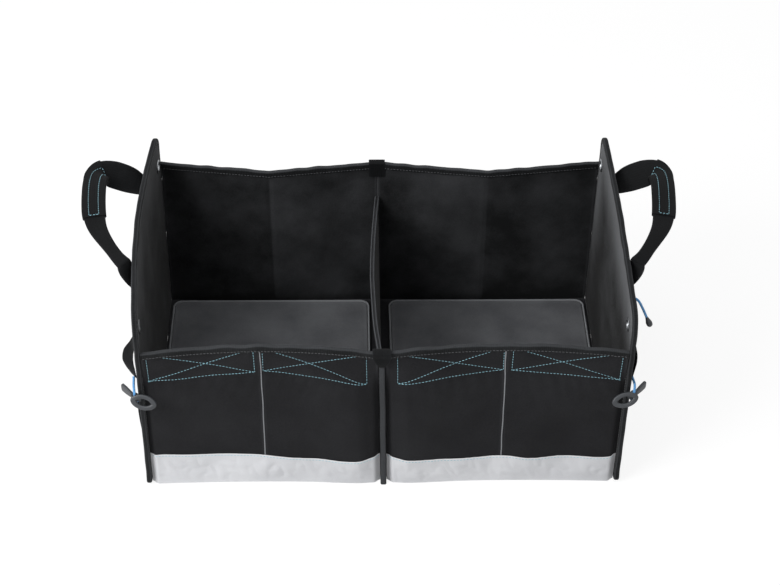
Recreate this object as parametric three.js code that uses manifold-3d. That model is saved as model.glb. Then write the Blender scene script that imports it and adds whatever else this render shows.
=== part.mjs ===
// Fold-flat cloth storage box for a car boot: two bays, stiffened cloth walls, webbing handles.
// Millimetres, +Z up. X runs along the box, the front wall faces -Y.
import * as THREE from 'three';
import { mergeVertices } from 'three/addons/utils/BufferGeometryUtils.js';
import Module from 'manifold-3d';

const wasm = await Module();
wasm.setup();

// Overall sizes
const WIDTH = 640;
const DEPTH = 392;
const END_HEIGHT_FRONT = 290;
const END_HEIGHT_BACK = 309;
// The long walls end below the end panels by these drops.
const FRONT_DROP = 54;
const BACK_DROP = 53;

// Cloth, board and tape thicknesses, and the gap that sewn layers keep
const GAP = 0.3;
const WALL = 4;
const END_BOARD = 3.8;
const LINING = 1.2;
const TAPE = 1.2;
const TAPE_DEPTH = 8;
const BASE = 3;
const FLOOR_BOARD = 5;
const DIVIDER = 3;

// End panel outline and how far it bows out
const END_RADIUS_FRONT = 28;
const END_RADIUS_BACK = 22;
const END_RADIUS_FOOT = 10;
const END_BOW = 3;
// The left end bulges further by this much.
const LEFT_BULGE = 9;
const LEFT_BULGE_FROM = 180;

// Creases, swell and corner recess of the long walls
const FRONT_CREASE_TOP = 15;
const FRONT_CREASE_FOOT = 3;
// The front wall stands back from the end panels' front edges.
const FRONT_SETBACK_TOP = 2;
const FRONT_SETBACK_FOOT = 5;
const BACK_CREASE_TOP = 22;
const BACK_CREASE_FOOT = 4;
const SWELL = 10;
const SWELL_FROM_MIDDLE = 42;
const SWELL_SPREAD = 50;
const CORNER_RECESS = 6;
const CORNER_RECESS_WIDTH = 9;

// Front trim
const BAND_HEIGHT = 52;
const BAND = 1.2;
const HEM_DEPTH = 9;
const PIPING_RADIUS = 1;

// Divider, whose top ends below the long walls by these drops
const DIVIDER_DROP_FRONT = 20;
const DIVIDER_DROP_BACK = 58;
const DIVIDER_SAG = 8;
const DIVIDER_BOW = 12;
// The middle of the box leans to the left by this much at the front wall's top.
const MIDDLE_LEAN = 5;
const DIVIDER_TAPE_WIDTH = 8;
const DIVIDER_TAPE_DEPTH = 8;
const DIVIDER_FRONT_TAPE_DEPTH = 9;

// Saddles of webbing over the middle of the two long walls
const TAB_WIDTH = 23;
const TAB_FOOT_WIDTH = 9;
const FRONT_TAB_DROP = 20;
const TAB_DROP_INSIDE = 12;
const BACK_TAB_DROP = 22;
// Height of a saddle's arch as a share of its half width
const SADDLE_RISE = 0.35;

// Loose floor boards, clear of the walls by these distances
const FLOOR_SIDE_CLEARANCE = 4;
const FLOOR_MIDDLE_CLEARANCE = 10;
const FLOOR_FRONT_CLEARANCE = 5;
const FLOOR_BACK_CLEARANCE = 3;
const FLOOR_RADIUS = 14;
const FLOOR_PIPING_RADIUS = 1.5;

// Eyelets
const EYELET_HOLE = 5;
const EYELET_BARREL = 6.7;
const EYELET_FLANGE = 9.5;
const EYELET_SHEET = 1;
const EYELET_FRONT = { fromEdge: 40, fromTop: 41 };
const EYELET_BACK = { fromEdge: 24, fromTop: 42 };

// Handles: webbing loops sewn to the outer faces of the end panels, folded narrow in the grip
const WEBBING_WIDTH = 38;
const WEBBING = 1.8;
const GRIP_WIDTH = 29;
const GRIP_CORE = 3.4;
const GRIP_COVER = 1.3;
const HANDLE_FRONT_Y = 108;
const HANDLE_FROM_BACK = 86;
const HANDLE_SEWN_DROP = 22;
const HANDLE_SEWN_LENGTH = 66;
const HANDLE_REACH = 58.5;
const HANDLE_RISE = 49;
const HANDLE_STEPS = 32;

// Side straps, the elastic loop between them and the hook that turns on it
const SIDE_STRAP_WIDTH = 16;
const SIDE_STRAP = 1.4;
const SIDE_STRAP_Y = 20;
const SIDE_STRAP_DROP = 28;
const SIDE_STRAP_LENGTH = 62;
const LOWER_STRAP_TOP = 140;
const LOWER_STRAP_END = 72;
const BULGE = { left: 18, right: 6 };
const CORD_RADIUS = 1.7;
// Half length of the loop's straight stretch
const LOOP_STRAIGHT = 9;
const HOOK_PIVOT_OUT = 4;
const HOOK_PIVOT_Y = -4.5;
const HOOK_HEIGHT = 168;
const HOOK_RING_WIDTH = 30;
const HOOK_RING_HEIGHT = 20;
const HOOK_BAR = 5.2;
const HOOK_THICKNESS = 4;
const HOOK_TILT = THREE.MathUtils.degToRad(30);
const HOOK_BEVEL = 1;
const HOOK_TONGUE_LENGTH = 28;
const HOOK_TONGUE_ROOT = 8;
const HOOK_TONGUE_TIP = 6;
const HOOK_TONGUE_THICKNESS = 3;
const HOOK_TONGUE_ANGLE = THREE.MathUtils.degToRad(50);
const HOOK_HUB_RADIUS = 5;
const HOOK_HUB_HEIGHT = 9;
const HOOK_HUB_CLEARANCE = 0.5;
// Block that joins the ring to the hub: along X, Y and Z
const HOOK_BRIDGE = [7, 5, 6];
const CORD_START_Y = 80;
const CORD_START_DROP = 28;
const TOGGLE_LENGTH = 17;
const TOGGLE_RADIUS = 4.2;

// Sizes that follow from the ones above
const FRONT_HEIGHT = END_HEIGHT_FRONT - FRONT_DROP;
const BACK_HEIGHT = END_HEIGHT_BACK - BACK_DROP;
const DIVIDER_HEIGHT_FRONT = FRONT_HEIGHT - DIVIDER_DROP_FRONT;
const DIVIDER_HEIGHT_BACK = BACK_HEIGHT - DIVIDER_DROP_BACK;
const HANDLE_BACK_Y = DEPTH - HANDLE_FROM_BACK;
const HANDLE_SEWN_TO = END_HEIGHT_FRONT - HANDLE_SEWN_DROP;
const HANDLE_SEWN_FROM = HANDLE_SEWN_TO - HANDLE_SEWN_LENGTH;
const SIDE_STRAP_TOP = END_HEIGHT_FRONT - SIDE_STRAP_DROP;
const SIDE_STRAP_END = SIDE_STRAP_TOP - SIDE_STRAP_LENGTH;
const CORD_START_Z = END_HEIGHT_FRONT - CORD_START_DROP;
const HALF = WIDTH / 2;
const BOARD_OUTER = TAPE + GAP;
const BOARD_INNER = BOARD_OUTER + END_BOARD;
const FLANGE_OUTER = BOARD_INNER + GAP;
const STACK = FLANGE_OUTER + LINING;
const WALL_END = HALF - STACK - GAP;
const WALL_START = DIVIDER_TAPE_WIDTH / 2 + GAP;
const CREASE_X = (WALL_START + WALL_END) / 2;
const HEM_OUT = TAPE + GAP;

const colours = {
  cloth: 0x17181a, wall: 0x131416, lining: 0x3c3d3f, tape: 0x1b1c1e, band: 0xc9cacb, floor: 0x46474a,
  piping: 0x8d9092, webbing: 0x1d1e20, metal: 0x55585c, plastic: 0x2a2c2f, cord: 0x3c8fd0,
};

function material(name, roughness = 0.85, metalness = 0) {
  return new THREE.MeshStandardMaterial({ color: colours[name], roughness, metalness });
}

function signedVolume(positions, index) {
  const corner = (k) => new THREE.Vector3().fromArray(positions, 3 * index[k]);
  let total = 0;
  for (let k = 0; k < index.length; k += 3) {
    total += corner(k).dot(corner(k + 1).cross(corner(k + 2))) / 6;
  }
  return total;
}

// A closed body from points and triangles, turned so that its faces point out.
function body(points, triangles) {
  const positions = points.flatMap((p) => p.toArray());
  const index = [...triangles];
  if (signedVolume(positions, index) < 0) {
    index.reverse();
  }
  const geometry = new THREE.BufferGeometry();
  geometry.setAttribute('position', new THREE.Float32BufferAttribute(positions, 3));
  geometry.setIndex(index);
  return geometry;
}

// Two faces over a grid of nu by nv cells and the rim that closes them.
function slab(nu, nv, point) {
  const points = [];
  const triangles = [];
  const at = (side, i, j) => side * (nu + 1) * (nv + 1) + i * (nv + 1) + j;
  for (const side of [0, 1]) {
    for (let i = 0; i <= nu; i += 1) {
      for (let j = 0; j <= nv; j += 1) {
        points.push(point(i / nu, j / nv, side));
      }
    }
  }
  const quad = (a, b, c, d) => triangles.push(a, b, c, a, c, d);
  for (let i = 0; i < nu; i += 1) {
    for (let j = 0; j < nv; j += 1) {
      quad(at(0, i, j), at(0, i + 1, j), at(0, i + 1, j + 1), at(0, i, j + 1));
      quad(at(1, i, j), at(1, i, j + 1), at(1, i + 1, j + 1), at(1, i + 1, j));
    }
  }
  for (let i = 0; i < nu; i += 1) {
    quad(at(0, i, 0), at(1, i, 0), at(1, i + 1, 0), at(0, i + 1, 0));
    quad(at(0, i, nv), at(0, i + 1, nv), at(1, i + 1, nv), at(1, i, nv));
  }
  for (let j = 0; j < nv; j += 1) {
    quad(at(0, 0, j), at(0, 0, j + 1), at(1, 0, j + 1), at(1, 0, j));
    quad(at(0, nu, j), at(1, nu, j), at(1, nu, j + 1), at(0, nu, j + 1));
  }
  return body(points, triangles);
}

// A skin over rings of points; flat outlines close its ends unless the rings form a loop.
function loft(rings, closed, flatOutline) {
  const count = rings[0].length;
  const points = rings.flat();
  const triangles = [];
  const last = closed ? rings.length : rings.length - 1;
  for (let i = 0; i < last; i += 1) {
    const next = (i + 1) % rings.length;
    for (let k = 0; k < count; k += 1) {
      const a = i * count + k;
      const b = i * count + (k + 1) % count;
      const c = next * count + (k + 1) % count;
      const d = next * count + k;
      triangles.push(a, b, c, a, c, d);
    }
  }
  if (!closed) {
    const clockwise = THREE.ShapeUtils.isClockWise(flatOutline);
    const end = (rings.length - 1) * count;
    for (const [a, b, c] of THREE.ShapeUtils.triangulateShape(flatOutline, [])) {
      triangles.push(...(clockwise ? [a, b, c] : [c, b, a]));
      triangles.push(...(clockwise ? [end + c, end + b, end + a] : [end + a, end + b, end + c]));
    }
  }
  return body(points, triangles);
}

function toSolid(geometry) {
  const plain = geometry.clone();
  plain.deleteAttribute('normal');
  plain.deleteAttribute('uv');
  const merged = mergeVertices(plain, 1e-4);
  const vertProperties = new Float32Array(merged.attributes.position.array);
  const triVerts = new Uint32Array(merged.index.array);
  return new wasm.Manifold(new wasm.Mesh({ numProp: 3, vertProperties, triVerts }));
}

function fromSolid(solid) {
  const mesh = solid.getMesh();
  const geometry = new THREE.BufferGeometry();
  geometry.setAttribute('position', new THREE.Float32BufferAttribute(mesh.vertProperties, 3));
  geometry.setIndex([...mesh.triVerts]);
  return geometry;
}

const cut = (geometry, tools) => fromSolid(tools.reduce((s, t) => s.subtract(toSolid(t)), toSolid(geometry)));
const join = (pieces) => fromSolid(pieces.slice(1).reduce((s, p) => s.add(toSolid(p)), toSolid(pieces[0])));

function smooth(low, high, value) {
  return THREE.MathUtils.smoothstep(value, low, high);
}

function spaced(from, to, count) {
  return Array.from({ length: count + 1 }, (_, n) => from + ((to - from) * n) / count);
}

// Distance along a bay: 0 at the divider, 1 at the end panel; the crease is half way.
const bay = (x) => (Math.abs(x) - WALL_START) / (WALL_END - WALL_START);
const tent = (t) => 1 - Math.abs(2 * t - 1);

function frontFace(x, z) {
  const height = z / FRONT_HEIGHT;
  const setback = THREE.MathUtils.lerp(FRONT_SETBACK_FOOT, FRONT_SETBACK_TOP, height);
  const rounded = 1 - (1 - tent(bay(x))) ** 2;
  const crease = THREE.MathUtils.lerp(FRONT_CREASE_FOOT, FRONT_CREASE_TOP, height) * rounded;
  const spread = Math.exp(-(((Math.abs(x) - SWELL_FROM_MIDDLE) / SWELL_SPREAD) ** 2));
  const swell = SWELL * spread * smooth(-0.1, 0.22, height) * (1 - smooth(0.72, 1, height));
  const edge = Math.min(Math.abs(x) - WALL_START, WALL_END - Math.abs(x));
  const recess = CORNER_RECESS * (1 - smooth(0, CORNER_RECESS_WIDTH, edge)) * (1 - smooth(0.7, 0.92, height));
  return setback + crease - swell * smooth(0, 30, edge) + recess;
}

function backFace(x, z) {
  const crease = THREE.MathUtils.lerp(BACK_CREASE_FOOT, BACK_CREASE_TOP, z / BACK_HEIGHT);
  return DEPTH - crease * tent(Math.abs(x) / WALL_END);
}

function endBow(y, z) {
  return END_BOW * Math.sin(Math.PI * THREE.MathUtils.clamp(y / DEPTH, 0, 1)) * (z / END_HEIGHT_BACK);
}

const endTop = (y) => THREE.MathUtils.lerp(END_HEIGHT_FRONT, END_HEIGHT_BACK, y / DEPTH);

// The end panel's outline moved inward, with the same number of points at every inset.
function endOutline(inset) {
  const corners = [
    { y: 0, z: 0, radius: END_RADIUS_FOOT, arc: 2, edge: 5 },
    { y: DEPTH, z: 0, radius: END_RADIUS_FOOT, arc: 2, edge: 2 },
    { y: DEPTH, z: END_HEIGHT_BACK, radius: END_RADIUS_BACK, arc: 4, edge: 6 },
    { y: 0, z: END_HEIGHT_FRONT, radius: END_RADIUS_FRONT, arc: 4, edge: 2 },
  ];
  const at = (k) => new THREE.Vector2(corners[(k + 4) % 4].y, corners[(k + 4) % 4].z);
  const arcs = corners.map(({ radius, arc }, k) => {
    const before = at(k).sub(at(k - 1)).normalize();
    const after = at(k + 1).sub(at(k)).normalize();
    const turn = Math.acos(before.dot(after));
    const start = at(k).addScaledVector(before, -radius * Math.tan(turn / 2));
    const centre = start.clone().add(new THREE.Vector2(-before.y, before.x).multiplyScalar(radius));
    const first = Math.atan2(start.y - centre.y, start.x - centre.x);
    return Array.from({ length: arc + 1 }, (_, n) => {
      const angle = first + (turn * n) / arc;
      const reach = radius - inset;
      return new THREE.Vector2(centre.x + reach * Math.cos(angle), centre.y + reach * Math.sin(angle));
    });
  });
  const outline = [];
  arcs.forEach((points, k) => {
    outline.push(...points);
    const from = points[points.length - 1];
    const to = arcs[(k + 1) % 4][0];
    for (let n = 1; n < corners[k].edge; n += 1) {
      outline.push(from.clone().lerp(to, n / corners[k].edge));
    }
  });
  return outline;
}

const endPoint = (y, z, inward) => new THREE.Vector3(HALF - inward + endBow(y, z), y, z);

// A bowed sheet inside the outline, between two depths below the end panel's outer face.
function endSheet(inset, outer, inner) {
  const outline = endOutline(inset);
  const centre = new THREE.Vector2(DEPTH / 2, END_HEIGHT_FRONT / 2);
  const shrink = [1, 0.66, 0.33];
  const count = outline.length;
  const points = [];
  const triangles = [];
  const perFace = shrink.length * count + 1;
  for (const inward of [outer, inner]) {
    for (const s of shrink) {
      for (const p of outline) {
        const q = centre.clone().lerp(p, s);
        points.push(endPoint(q.x, q.y, inward));
      }
    }
    points.push(endPoint(centre.x, centre.y, inward));
  }
  for (let k = 0; k < count; k += 1) {
    const next = (k + 1) % count;
    for (const [base, flip] of [[0, false], [perFace, true]]) {
      const add = (a, b, c) => triangles.push(...(flip ? [c, b, a] : [a, b, c]));
      for (let r = 0; r + 1 < shrink.length; r += 1) {
        const near = base + r * count;
        const far = near + count;
        add(near + k, near + next, far + next);
        add(near + k, far + next, far + k);
      }
      const last = base + (shrink.length - 1) * count;
      add(last + k, last + next, base + perFace - 1);
    }
    triangles.push(k, perFace + k, perFace + next, k, perFace + next, next);
  }
  return body(points, triangles);
}

function endTape() {
  const rim = endOutline(0);
  const channel = endOutline(TAPE);
  const edge = endOutline(TAPE_DEPTH);
  const rings = rim.map((_, k) => [
    [rim, 0], [edge, 0], [edge, TAPE], [channel, TAPE],
    [channel, FLANGE_OUTER], [edge, FLANGE_OUTER], [edge, STACK], [rim, STACK],
  ].map(([outline, inward]) => endPoint(outline[k].x, outline[k].y, inward)));
  return loft(rings, true);
}

// Turns a shape modelled along +Z about the origin onto the end panel at (y, z), pointing out of it.
function ontoEnd(geometry, y, z) {
  const slope = (endBow(y + 1, z) - endBow(y - 1, z)) / 2;
  geometry.rotateY(Math.PI / 2);
  geometry.rotateZ(-Math.atan(slope));
  const seat = endPoint(y, z, 0);
  return geometry.translate(seat.x, seat.y, seat.z);
}

const eyelets = {
  front: [EYELET_FRONT.fromEdge, endTop(EYELET_FRONT.fromEdge) - EYELET_FRONT.fromTop],
  rear: [DEPTH - EYELET_BACK.fromEdge, endTop(DEPTH - EYELET_BACK.fromEdge) - EYELET_BACK.fromTop],
};

function eyeletHole([y, z]) {
  const drill = new THREE.CylinderGeometry(EYELET_BARREL + GAP, EYELET_BARREL + GAP, 6 * STACK, 14);
  return ontoEnd(drill.rotateX(Math.PI / 2), y, z);
}

function eyelet([y, z]) {
  const outside = -BOARD_OUTER + GAP + EYELET_SHEET;
  const inside = -STACK - GAP - EYELET_SHEET;
  const profile = [
    [EYELET_HOLE, outside], [EYELET_FLANGE, outside], [EYELET_FLANGE, outside - EYELET_SHEET],
    [EYELET_BARREL, outside - EYELET_SHEET], [EYELET_BARREL, inside + EYELET_SHEET],
    [EYELET_FLANGE, inside + EYELET_SHEET], [EYELET_FLANGE, inside], [EYELET_HOLE, inside],
    [EYELET_HOLE, outside],
  ].map(([r, h]) => new THREE.Vector2(r, h)).reverse();
  const ring = new THREE.LatheGeometry(profile, 14).rotateX(Math.PI / 2);
  return ontoEnd(ring, y, z);
}

// Layers of one wall share these stations, so that their faces stay parallel.
const seamX = { inner: CREASE_X - GAP / 2, outer: CREASE_X + GAP / 2 };
const recessEnd = CORNER_RECESS_WIDTH;
const frontX = {
  inner: [WALL_START, WALL_START + recessEnd / 2, ...spaced(WALL_START + recessEnd, seamX.inner, 6)],
  outer: [...spaced(seamX.outer, WALL_END - recessEnd, 6), WALL_END - recessEnd / 2, WALL_END],
};
const frontZ = [
  ...spaced(0, BAND_HEIGHT, 2),
  ...spaced(BAND_HEIGHT, FRONT_HEIGHT - HEM_DEPTH, 4).slice(1),
  FRONT_HEIGHT - HEM_OUT,
];
const backX = spaced(GAP / 2, WALL_END, 8);
const backZ = [...spaced(0, BACK_HEIGHT - HEM_DEPTH, 2), BACK_HEIGHT - HEM_OUT];

// A wall between two depths behind the face that is given for it.
function wall(face, xs, zs, near, far) {
  return slab(xs.length - 1, zs.length - 1, (u, v, side) => {
    const x = xs[Math.round(u * (xs.length - 1))];
    const z = zs[Math.round(v * (zs.length - 1))];
    return new THREE.Vector3(x, face(x, z) + (side ? far : near), z);
  });
}

// Tape folded over a wall's top edge; near and far are the wall's two faces.
function hem(face, xs, top, near, far) {
  const low = top - HEM_DEPTH;
  const section = [
    [near - HEM_OUT, low], [near - HEM_OUT, top], [far + HEM_OUT, top], [far + HEM_OUT, low],
    [far + GAP, low], [far + GAP, top - TAPE], [near - GAP, top - TAPE], [near - GAP, low],
  ];
  const rings = xs.map((x) => section.map(([y, z]) => new THREE.Vector3(x, face(x, z) + y, z)));
  return loft(rings, false, section.map(([y, z]) => new THREE.Vector2(y, z)));
}

function base() {
  const half = [...frontX.inner, ...frontX.outer];
  const xs = [...half.map((x) => -x).reverse(), ...half];
  return slab(xs.length - 1, 1, (u, v, side) => {
    const x = xs[Math.round(u * (xs.length - 1))];
    const front = frontFace(x, side ? BASE : 0) + WALL + 2 * GAP;
    const back = backFace(x, BASE) - WALL - GAP;
    return new THREE.Vector3(x, THREE.MathUtils.lerp(front, back, v), side ? BASE : 0);
  });
}

const floorBox = {
  x0: WALL_START + FLOOR_MIDDLE_CLEARANCE,
  x1: HALF - STACK - FLOOR_SIDE_CLEARANCE,
  y0: FRONT_SETBACK_FOOT + FRONT_CREASE_FOOT + WALL + FLOOR_FRONT_CLEARANCE,
  y1: DEPTH - WALL - BACK_CREASE_FOOT - FLOOR_BACK_CLEARANCE,
};

function roundedOutline(inset, arc) {
  const { x0, x1, y0, y1 } = floorBox;
  const reach = FLOOR_RADIUS - inset;
  const [left, right] = [x0 + FLOOR_RADIUS, x1 - FLOOR_RADIUS];
  const [front, back] = [y0 + FLOOR_RADIUS, y1 - FLOOR_RADIUS];
  const centres = [[left, front], [right, front], [right, back], [left, back]];
  return centres.flatMap(([cx, cy], k) => spaced(1 + k / 2, 1.5 + k / 2, arc).map((turns) => (
    new THREE.Vector2(cx + reach * Math.cos(Math.PI * turns), cy + reach * Math.sin(Math.PI * turns))
  )));
}

function floorBoard() {
  const inset = FLOOR_PIPING_RADIUS * 2 + GAP;
  const shape = new THREE.Shape(roundedOutline(inset, 4));
  const board = new THREE.ExtrudeGeometry(shape, { depth: FLOOR_BOARD, bevelEnabled: false });
  return board.translate(0, 0, BASE + GAP);
}

function floorPiping() {
  const centre = BASE + GAP + FLOOR_BOARD - FLOOR_PIPING_RADIUS;
  const around = 6;
  const rims = Array.from({ length: around }, (_, n) => {
    const angle = (2 * Math.PI * (n + 0.5)) / around;
    const outline = roundedOutline(FLOOR_PIPING_RADIUS * (1 + Math.cos(angle)), 4);
    return { outline, z: centre + FLOOR_PIPING_RADIUS * Math.sin(angle) };
  });
  const rings = rims[0].outline.map((_, k) => (
    rims.map(({ outline, z }) => new THREE.Vector3(outline[k].x, outline[k].y, z))
  ));
  return loft(rings, true);
}

const dividerTop = (y) => {
  const t = y / DEPTH;
  const straight = THREE.MathUtils.lerp(DIVIDER_HEIGHT_FRONT, DIVIDER_HEIGHT_BACK, t);
  return straight - DIVIDER_SAG * Math.sin(Math.PI * t);
};
const dividerFree = DIVIDER_TAPE_DEPTH + 2 * TAPE;
const dividerX = (y, z) => {
  const along = THREE.MathUtils.clamp((y - dividerFree) / (DEPTH - dividerFree), 0, 1);
  return -DIVIDER_BOW * Math.sin(Math.PI * along) * (z / DIVIDER_HEIGHT_FRONT) ** 2;
};
const dividerEnds = { front: TAPE, back: backFace(DIVIDER_TAPE_WIDTH / 2, BACK_HEIGHT) - WALL - GAP };

const dividerY = spaced(dividerFree, dividerEnds.back, 8);

function dividerPanel() {
  const ys = [dividerEnds.front, ...dividerY];
  return slab(ys.length - 1, 4, (u, v, side) => {
    const y = ys[Math.round(u * (ys.length - 1))];
    const low = BASE + GAP;
    const underTape = dividerTop(y) - DIVIDER_TAPE_DEPTH;
    const z = v < 1 ? THREE.MathUtils.lerp(low, underTape, v / 0.75) : dividerTop(y) - TAPE - GAP;
    return new THREE.Vector3(dividerX(y, z) + (side ? DIVIDER : -DIVIDER) / 2, y, z);
  });
}

const channelSection = (half, slot, depth) => [
  [-half, 0], [half, 0], [half, depth], [slot, depth],
  [slot, TAPE], [-slot, TAPE], [-slot, depth], [-half, depth],
];

function dividerFrontTape() {
  const section = channelSection(DIVIDER_TAPE_WIDTH / 2, DIVIDER / 2 + GAP, DIVIDER_FRONT_TAPE_DEPTH);
  const front = dividerEnds.front - TAPE - GAP;
  const rings = [0, FRONT_HEIGHT / 2, FRONT_HEIGHT - TAPE].map((z) => (
    section.map(([x, y]) => new THREE.Vector3(x, front + y, z))
  ));
  return loft(rings, false, section.map(([x, y]) => new THREE.Vector2(x, y)));
}

function dividerTopTape() {
  const section = channelSection(DIVIDER / 2 + GAP + TAPE, DIVIDER / 2 + GAP, DIVIDER_TAPE_DEPTH);
  const rings = dividerY.map((y) => section.map(([x, drop]) => {
    const z = dividerTop(y) - drop;
    return new THREE.Vector3(x + dividerX(y, z), y, z);
  }));
  return loft(rings, false, section.map(([x, y]) => new THREE.Vector2(x, y)));
}

// A flat strap along frames { p, w, n, width, thick }.
function strap(frames) {
  const last = frames.length - 1;
  return slab(last, 1, (u, v, side) => {
    const { p, w, n, width, thick } = frames[Math.round(u * last)];
    return p.clone().addScaledVector(w, (v - 0.5) * width).addScaledVector(n, (side - 0.5) * thick);
  });
}

// A cover around a strap. The strap cut out of it is a little longer, so that both ends are open.
function sleeve(frames, clearance, thickness) {
  const widen = (by) => frames.map((f) => ({ ...f, width: f.width + 2 * by, thick: f.thick + 2 * by }));
  const longer = widen(clearance).map((f, k, all) => {
    if (k > 0 && k < all.length - 1) {
      return f;
    }
    const inner = all[k === 0 ? 1 : all.length - 2];
    return { ...f, p: f.p.clone().addScaledVector(f.p.clone().sub(inner.p).normalize(), 1) };
  });
  return cut(strap(widen(clearance + thickness)), [strap(longer)]);
}

// A strap along points, with its width along X.
function saddle(path, widths, thick) {
  const frames = path.map((p, k) => {
    const before = path[Math.max(k - 1, 0)];
    const after = path[Math.min(k + 1, path.length - 1)];
    const tangent = after.clone().sub(before).normalize();
    const w = new THREE.Vector3(1, 0, 0);
    const n = new THREE.Vector3().crossVectors(tangent, w).normalize();
    return { p, w, n, width: widths[k], thick };
  });
  return strap(frames);
}

// A flat-topped U over a wall's top edge, from its outer foot to its inner foot.
function overTop(yOuter, yInner, top, dropOuter, dropInner) {
  const bend = (yInner - yOuter) / 2;
  const middle = (yOuter + yInner) / 2;
  const arc = spaced(Math.PI, 0, 8).map((angle) => (
    new THREE.Vector3(0, middle + bend * Math.cos(angle), top + SADDLE_RISE * bend * Math.sin(angle))
  ));
  const lowOuter = new THREE.Vector3(0, yOuter, top - dropOuter);
  const midOuter = new THREE.Vector3(0, yOuter, top - dropOuter / 2);
  const lowInner = new THREE.Vector3(0, yInner, top - dropInner);
  return [lowOuter, midOuter, ...arc, lowInner];
}

function frontTab() {
  const reach = frontFace(TAB_WIDTH / 2, FRONT_HEIGHT);
  const outer = -HEM_OUT - GAP - TAPE / 2;
  const behindTape = dividerEnds.front - TAPE - GAP + DIVIDER_FRONT_TAPE_DEPTH;
  const inner = Math.max(reach + WALL + HEM_OUT, behindTape) + GAP + TAPE / 2;
  const path = overTop(outer, inner, FRONT_HEIGHT + GAP + TAPE / 2, FRONT_TAB_DROP, TAB_DROP_INSIDE);
  const widths = path.map((_, k) => (k === 0 ? TAB_FOOT_WIDTH : TAB_WIDTH));
  return saddle(path, widths, TAPE);
}

function backTab() {
  const near = backFace(TAB_WIDTH / 2, BACK_HEIGHT) - WALL - HEM_OUT - GAP - TAPE / 2;
  const far = DEPTH + HEM_OUT + GAP + TAPE / 2;
  const path = overTop(near, far, BACK_HEIGHT + GAP + TAPE / 2, BACK_TAB_DROP, BACK_TAB_DROP);
  return saddle(path, path.map(() => TAB_WIDTH), TAPE);
}

// Handle: the webbing lies on the panel, leaves it facing forward, and turns flat to form the grip.
// A station holds its shares of the reach, of the way from front to back and of the rise, then how flat it
// lies and its tilt in degrees.
const handleStations = [
  [0.04, 0, 0.18, 0, 0],
  [0.14, 0, 0.38, 0.15, 20],
  [0.27, 0.015, 0.52, 0.6, 30],
  [0.46, 0.065, 0.64, 0.95, 45],
  [0.65, 0.165, 0.76, 1, 45],
  [0.79, 0.29, 0.86, 1, 45],
  [0.88, 0.425, 0.94, 1, 45],
  [0.965, 0.64, 1, 1, 50],
  [1, 0.78, 1, 1, 50],
  [0.99, 0.87, 0.96, 0.8, 50],
  [0.89, 0.925, 0.87, 0.35, 50],
  [0.68, 0.955, 0.72, 0, 50],
  [0.41, 0.97, 0.54, 0, 45],
  [0.205, 0.985, 0.38, 0, 25],
  [0.085, 0.995, 0.26, 0, 8],
  [0.025, 1, 0.12, 0, 0],
];
const GRIP_Y = [0.39, 0.86].map((share) => THREE.MathUtils.lerp(HANDLE_FRONT_Y, HANDLE_BACK_Y, share));

function handleFrames() {
  const lift = -BOARD_OUTER + 2 * GAP + WEBBING / 2;
  const place = (out, y, z) => (
    new THREE.Vector3(HALF + endBow(y, Math.min(z, HANDLE_SEWN_TO)) + lift + out * HANDLE_REACH, y, z)
  );
  const sewn = (y) => [HANDLE_SEWN_FROM, (HANDLE_SEWN_FROM + HANDLE_SEWN_TO) / 2, HANDLE_SEWN_TO].map((z) => (
    { p: place(0, y, z), flat: 0, tilt: 0 }
  ));
  const free = handleStations.map(([out, along, up, flat, tilt]) => {
    const y = THREE.MathUtils.lerp(HANDLE_FRONT_Y, HANDLE_BACK_Y, along);
    const z = HANDLE_SEWN_TO + up * HANDLE_RISE;
    return { p: place(out, y, z), flat, tilt: THREE.MathUtils.degToRad(tilt) };
  });
  const stations = [...sewn(HANDLE_FRONT_Y), ...free, ...sewn(HANDLE_BACK_Y).reverse()];
  const curve = new THREE.CatmullRomCurve3(stations.map(({ p }) => p), false, 'centripetal');
  const last = stations.length - 1;
  const sewnShare = 2 / last;
  const steps = [0, ...spaced(sewnShare, 1 - sewnShare, HANDLE_STEPS), 1];
  return steps.map((s) => {
    const p = curve.getPoint(s);
    const tangent = curve.getTangent(s);
    const k = Math.min(Math.floor(s * last), last - 1);
    const between = (key) => THREE.MathUtils.lerp(stations[k][key], stations[k + 1][key], s * last - k);
    const flat = between('flat');
    const tilt = between('tilt');
    const slope = (endBow(p.y + 1, HANDLE_SEWN_TO) - endBow(p.y - 1, HANDLE_SEWN_TO)) / 2;
    const along = new THREE.Vector3(slope, Math.cos(tilt), Math.sin(tilt)).multiplyScalar(s < 0.5 ? -1 : 1);
    const w = along.multiplyScalar(1 - flat).add(new THREE.Vector3(flat, 0, 0));
    w.addScaledVector(tangent, -w.dot(tangent)).normalize();
    const n = new THREE.Vector3().crossVectors(tangent, w).normalize();
    const width = THREE.MathUtils.lerp(WEBBING_WIDTH, GRIP_WIDTH, flat);
    return { p, w, n, width, thick: THREE.MathUtils.lerp(WEBBING, GRIP_CORE, flat) };
  });
}

// Side straps lie on the end panel near its front edge.
// Their distance off it at even steps down the strap, as shares of the bulge:
const UPPER_SLACK = [0, 0.02, 0.35, 0.85, 1, 0.8, 0.5];
const LOWER_SLACK = [0.3, 0.28, 0.2, 0.08, 0];
const sideStrapX = (z, out) => HALF + endBow(SIDE_STRAP_Y, z) - BOARD_OUTER + GAP + SIDE_STRAP / 2 + out;

function sideStrap(top, end, slack, bulge) {
  const w = new THREE.Vector3(0, 1, 0);
  const n = new THREE.Vector3(1, 0, 0);
  return strap(spaced(top, end, slack.length - 1).map((z, k) => {
    const p = new THREE.Vector3(sideStrapX(z, slack[k] * bulge), SIDE_STRAP_Y, z);
    return { p, w, n, width: SIDE_STRAP_WIDTH, thick: SIDE_STRAP };
  }));
}

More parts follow.
